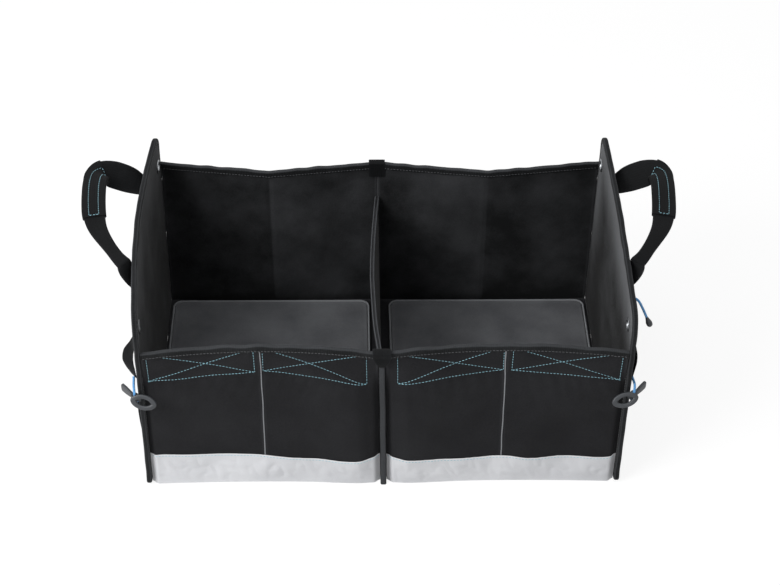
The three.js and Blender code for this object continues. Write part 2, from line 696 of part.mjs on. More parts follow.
// Round cord along points.
function cord(points, radius, steps, sides = 8) {
  const section = new THREE.Shape(Array.from({ length: sides }, (_, n) => {
    const angle = (2 * Math.PI * n) / sides;
    return new THREE.Vector2(radius * Math.cos(angle), radius * Math.sin(angle));
  }));
  const path = new THREE.CatmullRomCurve3(points.map((p) => new THREE.Vector3(...p)), false, 'centripetal');
  return new THREE.ExtrudeGeometry(section, { steps, extrudePath: path, bevelEnabled: false });
}

const pivotX = HALF + HOOK_PIVOT_OUT;

// The loop runs from the upper strap's end to the lower one's, straight where the hook's hub turns on it.
function hookLoop(bulge) {
  const upX = sideStrapX(SIDE_STRAP_END, UPPER_SLACK.at(-1) * bulge);
  const lowX = sideStrapX(LOWER_STRAP_TOP, LOWER_SLACK[0] * bulge);
  const y = SIDE_STRAP_Y - 2;
  const bendY = HOOK_PIVOT_Y + 6;
  return cord([
    [upX, y, SIDE_STRAP_END - 2 * GAP],
    [upX, y, SIDE_STRAP_END - 5],
    [pivotX + 1, bendY, HOOK_HEIGHT + LOOP_STRAIGHT + 8],
    [pivotX, HOOK_PIVOT_Y, HOOK_HEIGHT + LOOP_STRAIGHT],
    [pivotX, HOOK_PIVOT_Y, HOOK_HEIGHT],
    [pivotX, HOOK_PIVOT_Y, HOOK_HEIGHT - LOOP_STRAIGHT],
    [pivotX + 0.5, bendY, HOOK_HEIGHT - LOOP_STRAIGHT - 7],
    [lowX, y, LOWER_STRAP_TOP + 5],
    [lowX, y, LOWER_STRAP_TOP + 2 * GAP],
  ], CORD_RADIUS, 20);
}

// Hook: an oval ring, a tongue behind the corner and a hub on the elastic loop.
function hook() {
  const oval = new THREE.Shape().absellipse(0, 0, HOOK_RING_WIDTH / 2, HOOK_RING_HEIGHT / 2, 0, 2 * Math.PI);
  const slotX = HOOK_RING_WIDTH / 2 - HOOK_BAR;
  const slotZ = HOOK_RING_HEIGHT / 2 - HOOK_BAR;
  oval.holes.push(new THREE.Path().absellipse(0, 0, slotX, slotZ, 0, 2 * Math.PI, true));
  const plate = (outline, thickness, curveSegments) => {
    const depth = thickness - 2 * HOOK_BEVEL;
    const solid = new THREE.ExtrudeGeometry(outline, {
      depth,
      curveSegments,
      bevelThickness: HOOK_BEVEL,
      bevelSize: HOOK_BEVEL,
      bevelOffset: -HOOK_BEVEL,
      bevelSegments: 1,
    });
    return solid.translate(0, 0, -depth / 2);
  };
  const ring = plate(oval, HOOK_THICKNESS, 9);
  ring.rotateX(Math.PI / 2 - HOOK_TILT);
  ring.translate(-HOOK_RING_WIDTH / 2 + HOOK_HUB_RADIUS / 2, -HOOK_HUB_RADIUS, 0);
  const hub = new THREE.CylinderGeometry(HOOK_HUB_RADIUS, HOOK_HUB_RADIUS, HOOK_HUB_HEIGHT, 14);
  hub.rotateX(Math.PI / 2);
  const blade = new THREE.Shape();
  const tip = HOOK_TONGUE_TIP / 2;
  blade.moveTo(0, -HOOK_TONGUE_ROOT / 2);
  blade.lineTo(HOOK_TONGUE_LENGTH - tip, -tip);
  blade.absarc(HOOK_TONGUE_LENGTH - tip, 0, tip, -Math.PI / 2, Math.PI / 2, false);
  blade.lineTo(0, HOOK_TONGUE_ROOT / 2);
  const tongue = plate(blade, HOOK_TONGUE_THICKNESS, 4);
  tongue.rotateX(Math.PI / 2).rotateZ(HOOK_TONGUE_ANGLE);
  const [bridgeLength, bridgeWidth, bridgeHeight] = HOOK_BRIDGE;
  const bridge = new THREE.BoxGeometry(bridgeLength, bridgeWidth, bridgeHeight);
  bridge.translate(0.5 - HOOK_HUB_RADIUS, -bridgeWidth / 2, 0);
  const bore = CORD_RADIUS + HOOK_HUB_CLEARANCE;
  const drill = new THREE.CylinderGeometry(bore, bore, 3 * HOOK_HUB_HEIGHT, 10).rotateX(Math.PI / 2);
  const whole = cut(join([hub, ring, tongue, bridge]), [drill]);
  return whole.translate(pivotX, HOOK_PIVOT_Y, HOOK_HEIGHT);
}

// Elastic cord that hangs beside the right handle, with the toggle on its end.
const cordX = HALF + endBow(CORD_START_Y, CORD_START_Z) - BOARD_OUTER + 2 * GAP;
const cordBends = [[0, 0, 0], [4, 0, 0], [10, -1, -3], [17, -2, -15], [24, -2, -31]];
const cordPoints = cordBends.map(([x, y, z]) => [cordX + x, CORD_START_Y + y, CORD_START_Z + z]);

function toggle() {
  const shares = [[0, 0], [0.45, 0.035], [0.57, 0.18], [1, 0.65], [0.86, 0.88], [0.43, 1], [0, 1]];
  const profile = shares.map(([r, h]) => new THREE.Vector2(r * TOGGLE_RADIUS, h * TOGGLE_LENGTH));
  const shell = new THREE.LatheGeometry(profile, 14);
  const end = new THREE.Vector3(...cordPoints[cordPoints.length - 1]);
  const before = new THREE.Vector3(...cordPoints[cordPoints.length - 2]);
  const along = end.clone().sub(before).normalize();
  shell.applyQuaternion(new THREE.Quaternion().setFromUnitVectors(new THREE.Vector3(0, 1, 0), along));
  const seat = end.addScaledVector(along, GAP);
  return shell.translate(seat.x, seat.y, seat.z);
}

function mirrored(geometry) {
  const copy = mergeVertices(geometry.clone(), 1e-4);
  copy.scale(-1, 1, 1);
  copy.setIndex([...copy.index.array].reverse());
  return copy;
}

const box = new THREE.Group();

// The soft middle of the box leans to the left, and the left end bulges.
function lean(geometry) {
  const { position } = geometry.attributes;
  for (let n = 0; n < position.count; n += 1) {
    const [x, y, z] = [position.getX(n), position.getY(n), position.getZ(n)];
    const middleShare = Math.max(0, 1 - Math.abs(x) / WALL_END);
    const along = Math.sin(Math.PI * THREE.MathUtils.clamp(y / DEPTH, 0, 1));
    const bulge = along * smooth(LEFT_BULGE_FROM, WALL_END, -x);
    const shift = MIDDLE_LEAN * middleShare * (z / FRONT_HEIGHT) + LEFT_BULGE * bulge * (z / END_HEIGHT_BACK);
    position.setX(n, x - shift);
  }
}

function add(name, geometry, look) {
  const plain = geometry.clone();
  plain.deleteAttribute('normal');
  plain.deleteAttribute('uv');
  lean(plain);
  const merged = mergeVertices(plain, 1e-4);
  merged.computeVertexNormals();
  const mesh = new THREE.Mesh(merged, look);
  mesh.name = name;
  box.add(mesh);
}

function addPair(name, geometry, look) {
  add(`${name}_right`, geometry, look);
  add(`${name}_left`, mirrored(geometry), look);
}

// Floor
add('base_sheet', base(), material('cloth'));
addPair('floor_board', floorBoard(), material('floor'));
addPair('floor_piping', floorPiping(), material('piping'));

// End panels
const holes = Object.values(eyelets).map(eyeletHole);
addPair('end_panel', cut(endSheet(BOARD_OUTER, BOARD_OUTER, BOARD_INNER), holes), material('cloth'));
addPair('end_lining', cut(endSheet(TAPE_DEPTH + GAP, FLANGE_OUTER, STACK), holes), material('lining'));
addPair('end_binding', endTape(), material('tape'));
for (const [place, spot] of Object.entries(eyelets)) {
  addPair(`eyelet_${place}`, eyelet(spot), material('metal', 0.4, 0.9));
}

// Back wall
addPair('back_wall', wall(backFace, backX, backZ, -WALL, 0), material('wall'));
addPair('back_binding', hem(backFace, backX, BACK_HEIGHT, -WALL, 0), material('tape'));
add('back_tab', backTab(), material('webbing'));

// Divider
add('divider_panel', dividerPanel(), material('wall'));
add('divider_front_binding', dividerFrontTape(), material('tape'));
add('divider_top_binding', dividerTopTape(), material('tape'));

// Front wall: two panels to a bay, with piping in the seam between them
for (const [half, xs] of Object.entries(frontX)) {
  addPair(`front_panel_${half}`, wall(frontFace, xs, frontZ, 0, WALL), material('cloth'));
}
const bayX = [...frontX.inner, ...frontX.outer];
const bandZ = frontZ.filter((z) => z <= BAND_HEIGHT);
addPair('front_band', wall(frontFace, bayX, bandZ, -BAND - GAP, -GAP), material('band', 0.6));
addPair('front_binding', hem(frontFace, bayX, FRONT_HEIGHT, 0, WALL), material('tape'));
const pipingPoints = spaced(BAND_HEIGHT + GAP, FRONT_HEIGHT - HEM_DEPTH - GAP, 7).map((z) => (
  [CREASE_X, frontFace(CREASE_X, z) - PIPING_RADIUS - GAP, z]
));
addPair('front_piping', cord(pipingPoints, PIPING_RADIUS, 8), material('piping'));
add('front_tab', frontTab(), material('webbing'));

// Handles
const frames = handleFrames();
addPair('handle_strap', strap(frames), material('webbing'));
const gripFrames = frames.filter(({ p }) => p.z > HANDLE_SEWN_TO && p.y > GRIP_Y[0] && p.y < GRIP_Y[1]);
addPair('handle_grip', sleeve(gripFrames, GAP, GRIP_COVER), material('webbing'));

// Straps, elastic loops and hooks at the front corners
addPair('hook', hook(), material('plastic', 0.45));
for (const [side, bulge] of Object.entries(BULGE)) {
  const turn = side === 'left' ? mirrored : (geometry) => geometry;
  const upper = sideStrap(SIDE_STRAP_TOP, SIDE_STRAP_END, UPPER_SLACK, bulge);
  const lower = sideStrap(LOWER_STRAP_TOP, LOWER_STRAP_END, LOWER_SLACK, bulge);
  add(`side_strap_${side}`, turn(upper), material('webbing'));
  add(`lower_strap_${side}`, turn(lower), material('webbing'));
  add(`hook_loop_${side}`, turn(hookLoop(bulge)), material('cord'));
}
add('elastic_cord', cord(cordPoints, CORD_RADIUS, 10), material('cord'));
add('cord_toggle', toggle(), material('plastic', 0.45));

// The origin is under the middle of the box, cord and toggle left aside.
const onCord = new Set(['elastic_cord', 'cord_toggle']);
const extent = new THREE.Box3();
for (const mesh of box.children) {
  if (!onCord.has(mesh.name)) {
    extent.expandByObject(mesh);
  }
}
const middle = extent.getCenter(new THREE.Vector3());
for (const mesh of box.children) {
  mesh.position.set(-middle.x, -middle.y, -extent.min.z);
}

export default box;
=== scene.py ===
# %% [markdown]
# # A folding cloth box for a car boot
# The real object is a black cloth box with two bays. Boards sewn between two cloths make its walls stiff,
# tape binds every edge, and webbing handles stand out from both ends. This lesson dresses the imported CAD
# model of it. Each soft part is worked out again as a smooth surface with numpy, in the same place.
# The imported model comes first, because it fixes where everything is.

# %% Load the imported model
import bpy
import numpy as np
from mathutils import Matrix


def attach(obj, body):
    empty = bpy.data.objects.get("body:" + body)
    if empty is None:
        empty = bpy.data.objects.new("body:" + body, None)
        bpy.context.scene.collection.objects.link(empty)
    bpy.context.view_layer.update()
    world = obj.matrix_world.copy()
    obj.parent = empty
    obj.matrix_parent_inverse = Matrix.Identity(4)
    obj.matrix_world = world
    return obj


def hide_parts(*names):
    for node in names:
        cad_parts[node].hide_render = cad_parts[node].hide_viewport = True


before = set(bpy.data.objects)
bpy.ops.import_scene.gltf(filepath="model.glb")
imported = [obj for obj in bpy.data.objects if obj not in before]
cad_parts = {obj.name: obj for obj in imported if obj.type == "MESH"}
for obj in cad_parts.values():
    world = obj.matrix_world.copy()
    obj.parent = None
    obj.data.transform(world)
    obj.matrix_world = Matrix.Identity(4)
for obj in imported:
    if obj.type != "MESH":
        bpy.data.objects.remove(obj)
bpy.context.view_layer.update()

# %% [markdown]
# ## Sizes
# The CAD source builds the box in millimetres round its own origin, lets the soft middle lean to the left,
# and then centres it. The same sizes and the same two steps are repeated here, so a surface that is worked
# out below lands where its CAD solid is. A part is always designed first as if it stood straight.

# %% Sizes in millimetres
HALF, DEPTH, END_FRONT, END_BACK, FRONT_TOP, BACK_TOP = 320, 392, 290, 309, 236, 256
GAP, WALL, BOARD, LINING, TAPE, TAPE_DEPTH = 0.3, 4, 3.8, 1.2, 1.2, 8
BASE, FLOOR, DIVIDER, HEM, BAND = 3, 5, 3, 9, 1.2
# The lean of the middle, the bulge of the left end, the bow of the end walls, and both creases at their tops.
LEAN, BULGE, BOW, FRONT_CREASE, BACK_CREASE = 5, 9, 3, 15, 22
OUTER = TAPE + GAP
FLANGE = OUTER + BOARD + GAP
STACK = FLANGE + LINING
WALL_START, WALL_END = 4.3, HALF - STACK - GAP
CREASE = (WALL_START + WALL_END) / 2
SHIFT = np.array([3.730, -189.672, 0])


def lerp(a, b, t):
    """The value a share t of the way from a to b."""
    return a + (b - a) * t


def ease(low, high, value):
    """0 below low, 1 above high, and the cubic 3t^2 - 2t^3 between them."""
    t = np.clip((value - low) / (high - low), 0, 1)
    return t * t * (3 - 2 * t)


def join(*columns):
    """Points from their coordinates, each of them a whole array or one number for all."""
    return np.stack(np.broadcast_arrays(*columns), -1)


def unit(rows):
    """The same directions, each of length 1."""
    return rows / np.linalg.norm(rows, axis=-1, keepdims=True)


def circle(count):
    """Even angles round a circle, in radians."""
    return np.linspace(0, 2 * np.pi, count, endpoint=False)


def place(points):
    """Modelling millimetres to metres in the shared frame: the lean, then the shift to the middle.
    The middle moves left in proportion to height, and the left end bulges like half a sine wave."""
    x, y, z = np.moveaxis(np.asarray(points, float), -1, 0)
    middle = np.maximum(0, 1 - np.abs(x) / WALL_END)
    along = np.sin(np.pi * np.clip(y / DEPTH, 0, 1))
    x = x - LEAN * middle * z / FRONT_TOP - BULGE * along * ease(180, WALL_END, -x) * z / END_BACK
    return (join(x, y, z) + SHIFT) / 1000


def bow(y, z):
    """How far an end wall bows out: 3 mm times half a sine wave of y, in proportion to height."""
    return BOW * np.sin(np.pi * np.clip(y / DEPTH, 0, 1)) * z / END_BACK


print("stack of an end wall", STACK, "mm, wall between", WALL_START, "and", round(WALL_END, 1), "mm")

# %% [markdown]
# ## Camera
# The photograph is taken from the front, about forty degrees down, with a lens that hardly widens the
# near edges. Pitch, yaw and a degree of roll give three axes at right angles, and those are the columns of
# the camera's matrix.

# %% Camera
LENS_PIXELS, PHOTO_PIXELS, SENSOR = 1866, 780, 36
pitch, yaw, roll = np.radians([39.91, 1.87, 0.991])
ahead = np.array([np.sin(yaw) * np.cos(pitch), np.cos(yaw) * np.cos(pitch), -np.sin(pitch)])
level = np.array([np.cos(yaw), -np.sin(yaw), 0])
below = np.cross(ahead, level)
matrix = np.eye(4)
matrix[:3, 0] = np.cos(roll) * level - np.sin(roll) * below
matrix[:3, 1] = -(np.sin(roll) * level + np.cos(roll) * below)
matrix[:3, 2] = -ahead
matrix[:3, 3] = (-0.0501, -1.9653, 1.8257)
camera = bpy.data.objects.new("camera", bpy.data.cameras.new("camera"))
camera.data.sensor_width = SENSOR
camera.data.lens = LENS_PIXELS / PHOTO_PIXELS * SENSOR
camera.matrix_world = matrix.T.tolist()
bpy.context.collection.objects.link(camera)
bpy.context.scene.camera = camera
print("lens", round(camera.data.lens, 2), "mm")

# %% [markdown]
# ## Materials
# Every material here starts from one small helper that adds a node, and from colours written as on a colour
# card. A colour card's numbers are stored for screens, so they are turned to linear light first.
# The weave is two sine waves across each other on the cloth's own UV map, which holds metres of cloth. A
# real thread is about half a millimetre, finer than a pixel of this picture, so it is drawn coarser.

# %% Helpers for materials
def linear(card, alpha=1):
    """A colour card's hex number as linear light: x/12.92 when dark, ((x + 0.055)/1.055)^2.4 otherwise."""
    x = np.array([card >> 16 & 255, card >> 8 & 255, card & 255]) / 255
    light = np.where(x <= 0.04045, x / 12.92, ((x + 0.055) / 1.055) ** 2.4)
    return (*light.tolist(), alpha)


def wire(tree, made, inputs):
    """Fills inputs: a number is set, a socket is linked, and a node stands for its first output."""
    for name, value in inputs.items():
        if isinstance(value, bpy.types.Node):
            value = value.outputs[0]
        if isinstance(value, bpy.types.NodeSocket):
            tree.links.new(value, made.inputs[name])
        else:
            made.inputs[name].default_value = value
    return made


def node(tree, kind, inputs=(), **settings):
    """Adds one node with its settings, and fills its inputs."""
    made = tree.nodes.new("ShaderNode" + kind)
    for name, value in settings.items():
        setattr(made, name, value)
    return wire(tree, made, dict(inputs))


def shader(name, inputs):
    """A new material and its main shader, with the inputs that are the same all over the surface."""
    made = bpy.data.materials.new(name)
    made.use_nodes = True
    tree = made.node_tree
    return made, tree, wire(tree, tree.nodes["Principled BSDF"], inputs)


print("mid grey 0x808080 is", round(linear(0x808080)[0], 3), "in linear light")

# %% Woven materials
def woven(name, card, worn, rough, pitch_mm, depth_mm, patches=0.12, sheen=0.05, cords=(1, 1)):
    """Cloth: sin(u) times sin(v) for the threads, large soft patches of light and dark, and dusty rims, where
    some pieces add painted light and shade. cords says how much each thread direction counts, so (1, 0) is a
    ribbed tape."""
    # Loose fibres scatter light, so cloth mirrors far less than a solid of the same plastic does.
    made, tree, main = shader(name, {"Roughness": rough, "Sheen Weight": sheen, "Sheen Roughness": 0.45,
                                     "Specular IOR Level": 0.1})
    axes = node(tree, "SeparateXYZ", {0: node(tree, "UVMap", uv_map="cloth")})
    waves = []
    for axis, share in zip("XY", cords):
        turn = node(tree, "Math", {0: axes.outputs[axis], 1: 2000 * np.pi / pitch_mm}, operation="MULTIPLY")
        wave = node(tree, "Math", {0: turn}, operation="SINE")
        waves.append(node(tree, "Math", {0: wave, 1: share, 2: 1 - share}, operation="MULTIPLY_ADD"))
    threads = node(tree, "Math", {0: waves[0], 1: waves[1]}, operation="MULTIPLY")
    where = node(tree, "TexCoord").outputs["Object"]
    cloud = node(tree, "TexNoise", {"Vector": where, "Scale": 14, "Detail": 3, "Roughness": 0.55})
    fine = node(tree, "TexNoise", {"Vector": where, "Scale": 420, "Detail": 2})
    rim = node(tree, "Attribute", attribute_name="rim")
    spread = node(tree, "MapRange", {"Value": cloud, "From Min": 0.3, "From Max": 0.7,
                                     "To Min": -0.08, "To Max": patches - 0.08})
    grain = node(tree, "Math", {0: fine, 1: 0.18, 2: spread}, operation="MULTIPLY_ADD")
    speck = node(tree, "Math", {0: threads, 1: 0.05, 2: grain}, operation="MULTIPLY_ADD")
    # The rim values add worn, dusty edges, and on some pieces painted highlights, painted light and painted
    # shade.
    dust_and_painted_light = node(tree, "Math", {0: rim.outputs["Fac"], 1: 0.4, 2: speck}, operation="MULTIPLY_ADD",
                use_clamp=True)
    tint = node(tree, "Mix", {0: dust_and_painted_light, 6: linear(card), 7: linear(worn)}, data_type="RGBA")
    height = node(tree, "Math", {0: fine, 1: 0.5, 2: threads}, operation="MULTIPLY_ADD")
    bump = node(tree, "Bump", {"Height": height, "Distance": depth_mm / 1000, "Strength": 0.6})
    wire(tree, main, {"Base Color": tint.outputs[2], "Normal": bump})
    return made


# Black 600-denier polyester with a coated back: a dull face that lifts a little at a low angle.
outer_cloth = woven("polyester_600d_black", 0x161618, 0x424346, 0.8, 2.0, 0.14)
# Smooth non-woven cloth over the boards of the long walls and the divider.
wall_cloth = woven("nonwoven_polypropylene_black", 0x121314, 0x505154, 0.88, 2.6, 0.06, patches=0.36,
                   sheen=0.06)
# Brushed grey lining of the end panels.
lining_cloth = woven("brushed_lining_grey", 0x0B0B0C, 0x85878A, 0.9, 2.4, 0.10, patches=0.14, sheen=0.05)
# Grey cloth round the loose floor boards.
board_cloth = woven("board_cloth_grey", 0x4C4D50, 0x7E8083, 0.9, 2.2, 0.08, patches=0.35, sheen=0.15)
# Grosgrain binding tape: ribs across its length.
binding_tape = woven("grosgrain_tape_black", 0x0E0F10, 0x4D4F52, 0.78, 2.4, 0.16, cords=(1, 0))
# Light grey polyester of the band along the foot of the front wall.
band_cloth = woven("polyester_band_light_grey", 0xBEBFC2, 0xD8D9DB, 0.7, 2.0, 0.08, patches=0.4, sheen=0.1)
# Polypropylene webbing: ribs along its length, crossed by the weft.
webbing_cloth = woven("polypropylene_webbing_black", 0x0A0B0C, 0x303134, 0.75, 2.8, 0.2, sheen=0.02,
                      cords=(0.5, 1))
# Piping: a thin cord wrapped in grey tape.
piping_cloth = woven("piping_tape_grey", 0x77797C, 0xA4A7AA, 0.75, 1.8, 0.08, cords=(1, 0))
print(len(bpy.data.materials), "materials so far")

# %% [markdown]
# The thread, plastic, metal and elastic each need something else: thread shines along its twist, moulded
# plastic has a fine spark-eroded grain, plated steel is a metal with small rubs, and the elastic's braid
# shows as crossing diagonals, which are sines of u + v and u - v.

# %% Thread, plastic, metal and elastic
def mottled(name, inputs, dark, light, scale, detail=2, rough=()):
    """A finish with noise on Object coordinates between two colours, and, where rough gives two values of
    roughness, between those."""
    made, tree, main = shader(name, inputs)
    where = node(tree, "TexCoord").outputs["Object"]
    rub = node(tree, "TexNoise", {"Vector": where, "Scale": scale, "Detail": detail})
    tint = node(tree, "Mix", {0: rub, 6: linear(dark), 7: linear(light)}, data_type="RGBA")
    wire(tree, main, {"Base Color": tint.outputs[2]})
    if rough:
        dull = node(tree, "MapRange", {"Value": rub, "To Min": rough[0], "To Max": rough[1]})
        wire(tree, main, {"Roughness": dull})
    return made, tree, main, where


thread, *_ = mottled("bonded_nylon_thread_grey_green", {"Roughness": 0.45, "Sheen Weight": 0.2},
                     0x5F98A8, 0x97C0CA, 900)
dark_thread, *_ = mottled("bonded_nylon_thread_black", {"Roughness": 0.4, "Sheen Weight": 0.3},
                          0x2A2B2E, 0x4A4C50, 900)
metal, *_ = mottled("plated_steel_gunmetal", {"Metallic": 1.0}, 0x85888C, 0xC4C7CA, 260, 4, (0.22, 0.45))
plastic, tree, main, where = mottled("moulded_acetal_dark_grey", {"IOR": 1.48}, 0x25272A, 0x3E4145, 90, 3,
                                     (0.28, 0.5))
grit = node(tree, "TexNoise", {"Vector": where, "Scale": 1500, "Detail": 2})
wire(tree, main, {"Normal": node(tree, "Bump", {"Height": grit, "Distance": 0.00004, "Strength": 0.5})})

STRAND = 2.0
elastic, tree, main = shader("braided_elastic_blue", {"Roughness": 0.7, "Sheen Weight": 0.3})
axes = node(tree, "SeparateXYZ", {0: node(tree, "UVMap", uv_map="cloth")})
strands = []
for operation in ("ADD", "SUBTRACT"):
    slant = node(tree, "Math", {0: axes.outputs["X"], 1: axes.outputs["Y"]}, operation=operation)
    turn = node(tree, "Math", {0: slant, 1: 2000 * np.pi / STRAND}, operation="MULTIPLY")
    strands.append(node(tree, "Math", {0: turn}, operation="SINE"))
braid = node(tree, "Math", {0: strands[0], 1: strands[1]}, operation="MULTIPLY")
share = node(tree, "MapRange", {"Value": braid, "From Min": -1, "From Max": 1})
tint = node(tree, "Mix", {0: share, 6: linear(0x2A6FB0), 7: linear(0x70B4E8)}, data_type="RGBA")
bump = node(tree, "Bump", {"Height": braid, "Distance": 0.0002, "Strength": 0.6})
wire(tree, main, {"Base Color": tint.outputs[2], "Normal": bump})

# %% [markdown]
# ## Surfaces as arrays
# A sheet is two faces over one grid of distances u and v. Near an edge its thickness shrinks like a quarter
# circle, so the rim is round and the faces meet in one line of shared points. A tape, a strap or a cord is a
# closed outline carried along a path. Both are whole numpy arrays, and one function puts them in a mesh.

# %% From arrays to a piece
def inside_out(points, quads):
    """True where the volume that the faces enclose, the sum of a.(b x c)/6 about the middle, is negative."""
    a, b, c, d = (points[quads[:, k]] - points.mean(0) for k in range(4))
    return (a * np.cross(b, c)).sum() + (a * np.cross(c, d)).sum() < 0


def piece(name, shells, material, *nodes, body="box"):
    """One object from shells, each (points, quads, uv of the corners, rim, list of end faces).
    It stands for the CAD nodes that are named, rides on a body, and has its material's slot."""
    verts, faces, loops, rims = [], [], [], []
    count = 0
    for points, quads, corners, rim, ends in shells:
        points = place(points)
        if inside_out(points, quads):
            quads, corners, ends = quads[:, ::-1], corners[:, ::-1], [end[::-1] for end in ends]
        verts.append(points)
        rims.append(rim)
        faces += (quads + count).tolist()
        loops.append(corners.reshape(-1, 2))
        for end in ends:
            faces.append([int(k) + count for k in end])
            loops.append(np.zeros((len(end), 2)))
        count += len(points)
    mesh = bpy.data.meshes.new(name)
    mesh.from_pydata(np.concatenate(verts), [], faces)
    mesh.uv_layers.new(name="cloth").data.foreach_set("uv", np.concatenate(loops).ravel())
    # The rim attribute holds worn, dusty edges, and on some pieces painted highlights, painted light and
    # painted shade.
    mesh.attributes.new("rim", "FLOAT", "POINT").data.foreach_set("value", np.concatenate(rims))
    mesh.materials.append(material)
    mesh.shade_smooth()
    mesh.set_sharp_from_angle(angle=np.radians(60))
    mesh.validate()
    made = bpy.data.objects.new(name, mesh)
    bpy.context.collection.objects.link(made)
    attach(made, body)
    if nodes:
        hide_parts(*nodes)
    print(name, len(faces), "faces")
    return made


# %% A sheet with round rims
RIM_STEPS = 1 - np.cos(np.radians([0, 35, 65, 90]))
WORN_RIM = 2.5


def steps(length, rim, pitch):
    """Distances from 0 to length: three close steps round each rim, rim(1 - cos), and steps of about pitch."""
    inner = np.linspace(rim, length - rim, max(2, round(length / pitch)) + 1)[1:-1]
    return np.concatenate([rim * RIM_STEPS, inner, length - rim * RIM_STEPS[::-1]])


def fullness(depth, rim):
    """The share of the thickness at a depth inside the edge: sqrt(1 - (1 - d/rim)^2)."""
    return np.sqrt(np.clip(1 - (1 - np.minimum(depth / rim, 1)) ** 2, 0, 1))


def sheet(near, far, u, v, rim):
    """Two faces, near and far, over the grid of u and v: middle +- half the thickness times the fullness.
    They share the points of the edge, so the far face adds only the points inside it."""
    nu, nv = len(u), len(v)
    du, dv = np.minimum(u, u[-1] - u)[:, None], np.minimum(v, v[-1] - v)
    share = (fullness(du, rim) * fullness(dv, rim))[..., None]
    middle, half = (near + far) / 2, (near - far) / 2
    front = np.arange(nu * nv).reshape(nu, nv)
    back = front.copy()
    inner = (nu - 2) * (nv - 2)
    back[1:-1, 1:-1] = nu * nv + np.arange(inner).reshape(nu - 2, nv - 2)
    cell = lambda k: join(k[:-1, :-1], k[1:, :-1], k[1:, 1:], k[:-1, 1:]).reshape(-1, 4)
    quads = np.concatenate([cell(front), cell(back)[:, ::-1]])
    both = lambda a, b: np.concatenate([a.reshape(nu * nv, -1), b[1:-1, 1:-1].reshape(inner, -1)])
    flat = np.stack(np.meshgrid(u, v, indexing="ij"), -1) / 1000
    wear = np.exp(-((np.minimum(du, dv) / WORN_RIM) ** 2))
    return (both(middle + half * share, middle - half * share), quads, both(flat, flat)[quads],
            both(wear, wear).ravel(), [])


print("steps over 10 mm with a rim of 2 mm:", np.round(steps(10, 2, 2), 2).tolist())

# %% An outline carried along a path
def carried(rings, looped=False, wear=None):
    """A skin over rings of points (path, outline, 3). The ends are closed by a face, unless it is a loop.
    UV is the distance along the path and round the outline."""
    n, k = rings.shape[:2]
    length = lambda axis: np.concatenate([[0], np.cumsum(np.linalg.norm(
        np.roll(rings, -1, axis) - rings, axis=-1).mean(1 - axis))])
    along, about = length(0), length(1)
    i, j = np.meshgrid(np.arange(n if looped else n - 1), np.arange(k), indexing="ij")
    i, j = i.ravel(), j.ravel()
    quads = join(i * k + j, (i + 1) % n * k + j, (i + 1) % n * k + (j + 1) % k, i * k + (j + 1) % k)
    u = join(along[i], along[i + 1], along[i + 1], along[i])
    v = join(about[j], about[j], about[j + 1], about[j + 1])
    ends = [] if looped else [list(range(k)), list(range((n - 1) * k, n * k))[::-1]]
    rim = np.zeros((n, k)) if wear is None else np.broadcast_to(wear, (n, k))
    return rings.reshape(-1, 3), quads, join(u, v) / 1000, rim.ravel(), ends


def ribbon(line, thick):
    """The closed outline of a ribbon of that thickness along an open line of (a, b) points, with round ends:
    the line moved half the thickness to each side along its normal, and half a circle at each end."""
    line = np.asarray(line, float)
    slope = unit(np.gradient(line, axis=0))
    normal = join(-slope[:, 1], slope[:, 0])
    turn = np.radians([-50, 0, 50])[:, None]
    cap = lambda p, s, m: p + thick / 2 * (np.cos(turn) * s + np.sin(turn) * m)
    return np.concatenate([line + normal * thick / 2, cap(line[-1], slope[-1], -normal[-1]),
                           (line - normal * thick / 2)[::-1], cap(line[0], -slope[0], normal[0])])


def smooth_path(points, count):
    """A centripetal Catmull-Rom curve through the points, as the CAD source has it: on each span a cubic
    whose end slopes come from the neighbours, each distance counted by its square root."""
    p = np.asarray(points, float)
    p = np.concatenate([[2 * p[0] - p[1]], p, [2 * p[-1] - p[-2]]])
    s = np.linspace(0, len(p) - 3, count) if np.isscalar(count) else np.asarray(count) * (len(p) - 3)
    k = np.minimum(s.astype(int), len(p) - 4)
    t = (s - k)[:, None]
    a, b, c, d = p[k], p[k + 1], p[k + 2], p[k + 3]
    gap = lambda m, q: np.maximum(np.linalg.norm(q - m, axis=1, keepdims=True), 1e-9) ** 0.5
    t0, t1, t2 = gap(a, b), gap(b, c), gap(c, d)
    m1 = ((b - a) / t0 - (c - a) / (t0 + t1) + (c - b) / t1) * t1
    m2 = ((c - b) / t1 - (d - b) / (t1 + t2) + (d - c) / t2) * t1
    return b + m1 * t + (-3 * b + 3 * c - 2 * m1 - m2) * t ** 2 + (2 * b - 2 * c + m1 + m2) * t ** 3


def axes_of(path, across):
    """Three directions at each point of a path: along it, the part of across that is square to it, and their
    cross product."""
    along = unit(np.gradient(path, axis=0))
    side = unit(across - (across * along).sum(1, keepdims=True) * along)
    return along, side, np.cross(along, side)


def tube(path, radius, around=12):
    """A round cord: rings of cos and sin about the path, and the radius may change along it."""
    _, side, up = axes_of(path, np.broadcast_to([0.31, 0.87, 0.38], path.shape))
    turn = circle(around)[None, :, None]
    size = np.broadcast_to(radius, len(path))[:, None, None]
    return carried(path[:, None] + size * (np.cos(turn) * side[:, None] + np.sin(turn) * up[:, None]))


print("a ribbon's outline has", len(ribbon([[0, 0], [1, 0], [2, 0]], 1)), "points for three of its line")

# %% [markdown]
# ## The elastic cord
# A short blue elastic comes out beside the right handle and hangs from it with a small moulded toggle on its
# end. The photograph shows all of it. It bends over in a tight curve and hangs straight under the toggle's
# weight, so the path is the CAD source's own points with a smooth curve through them.

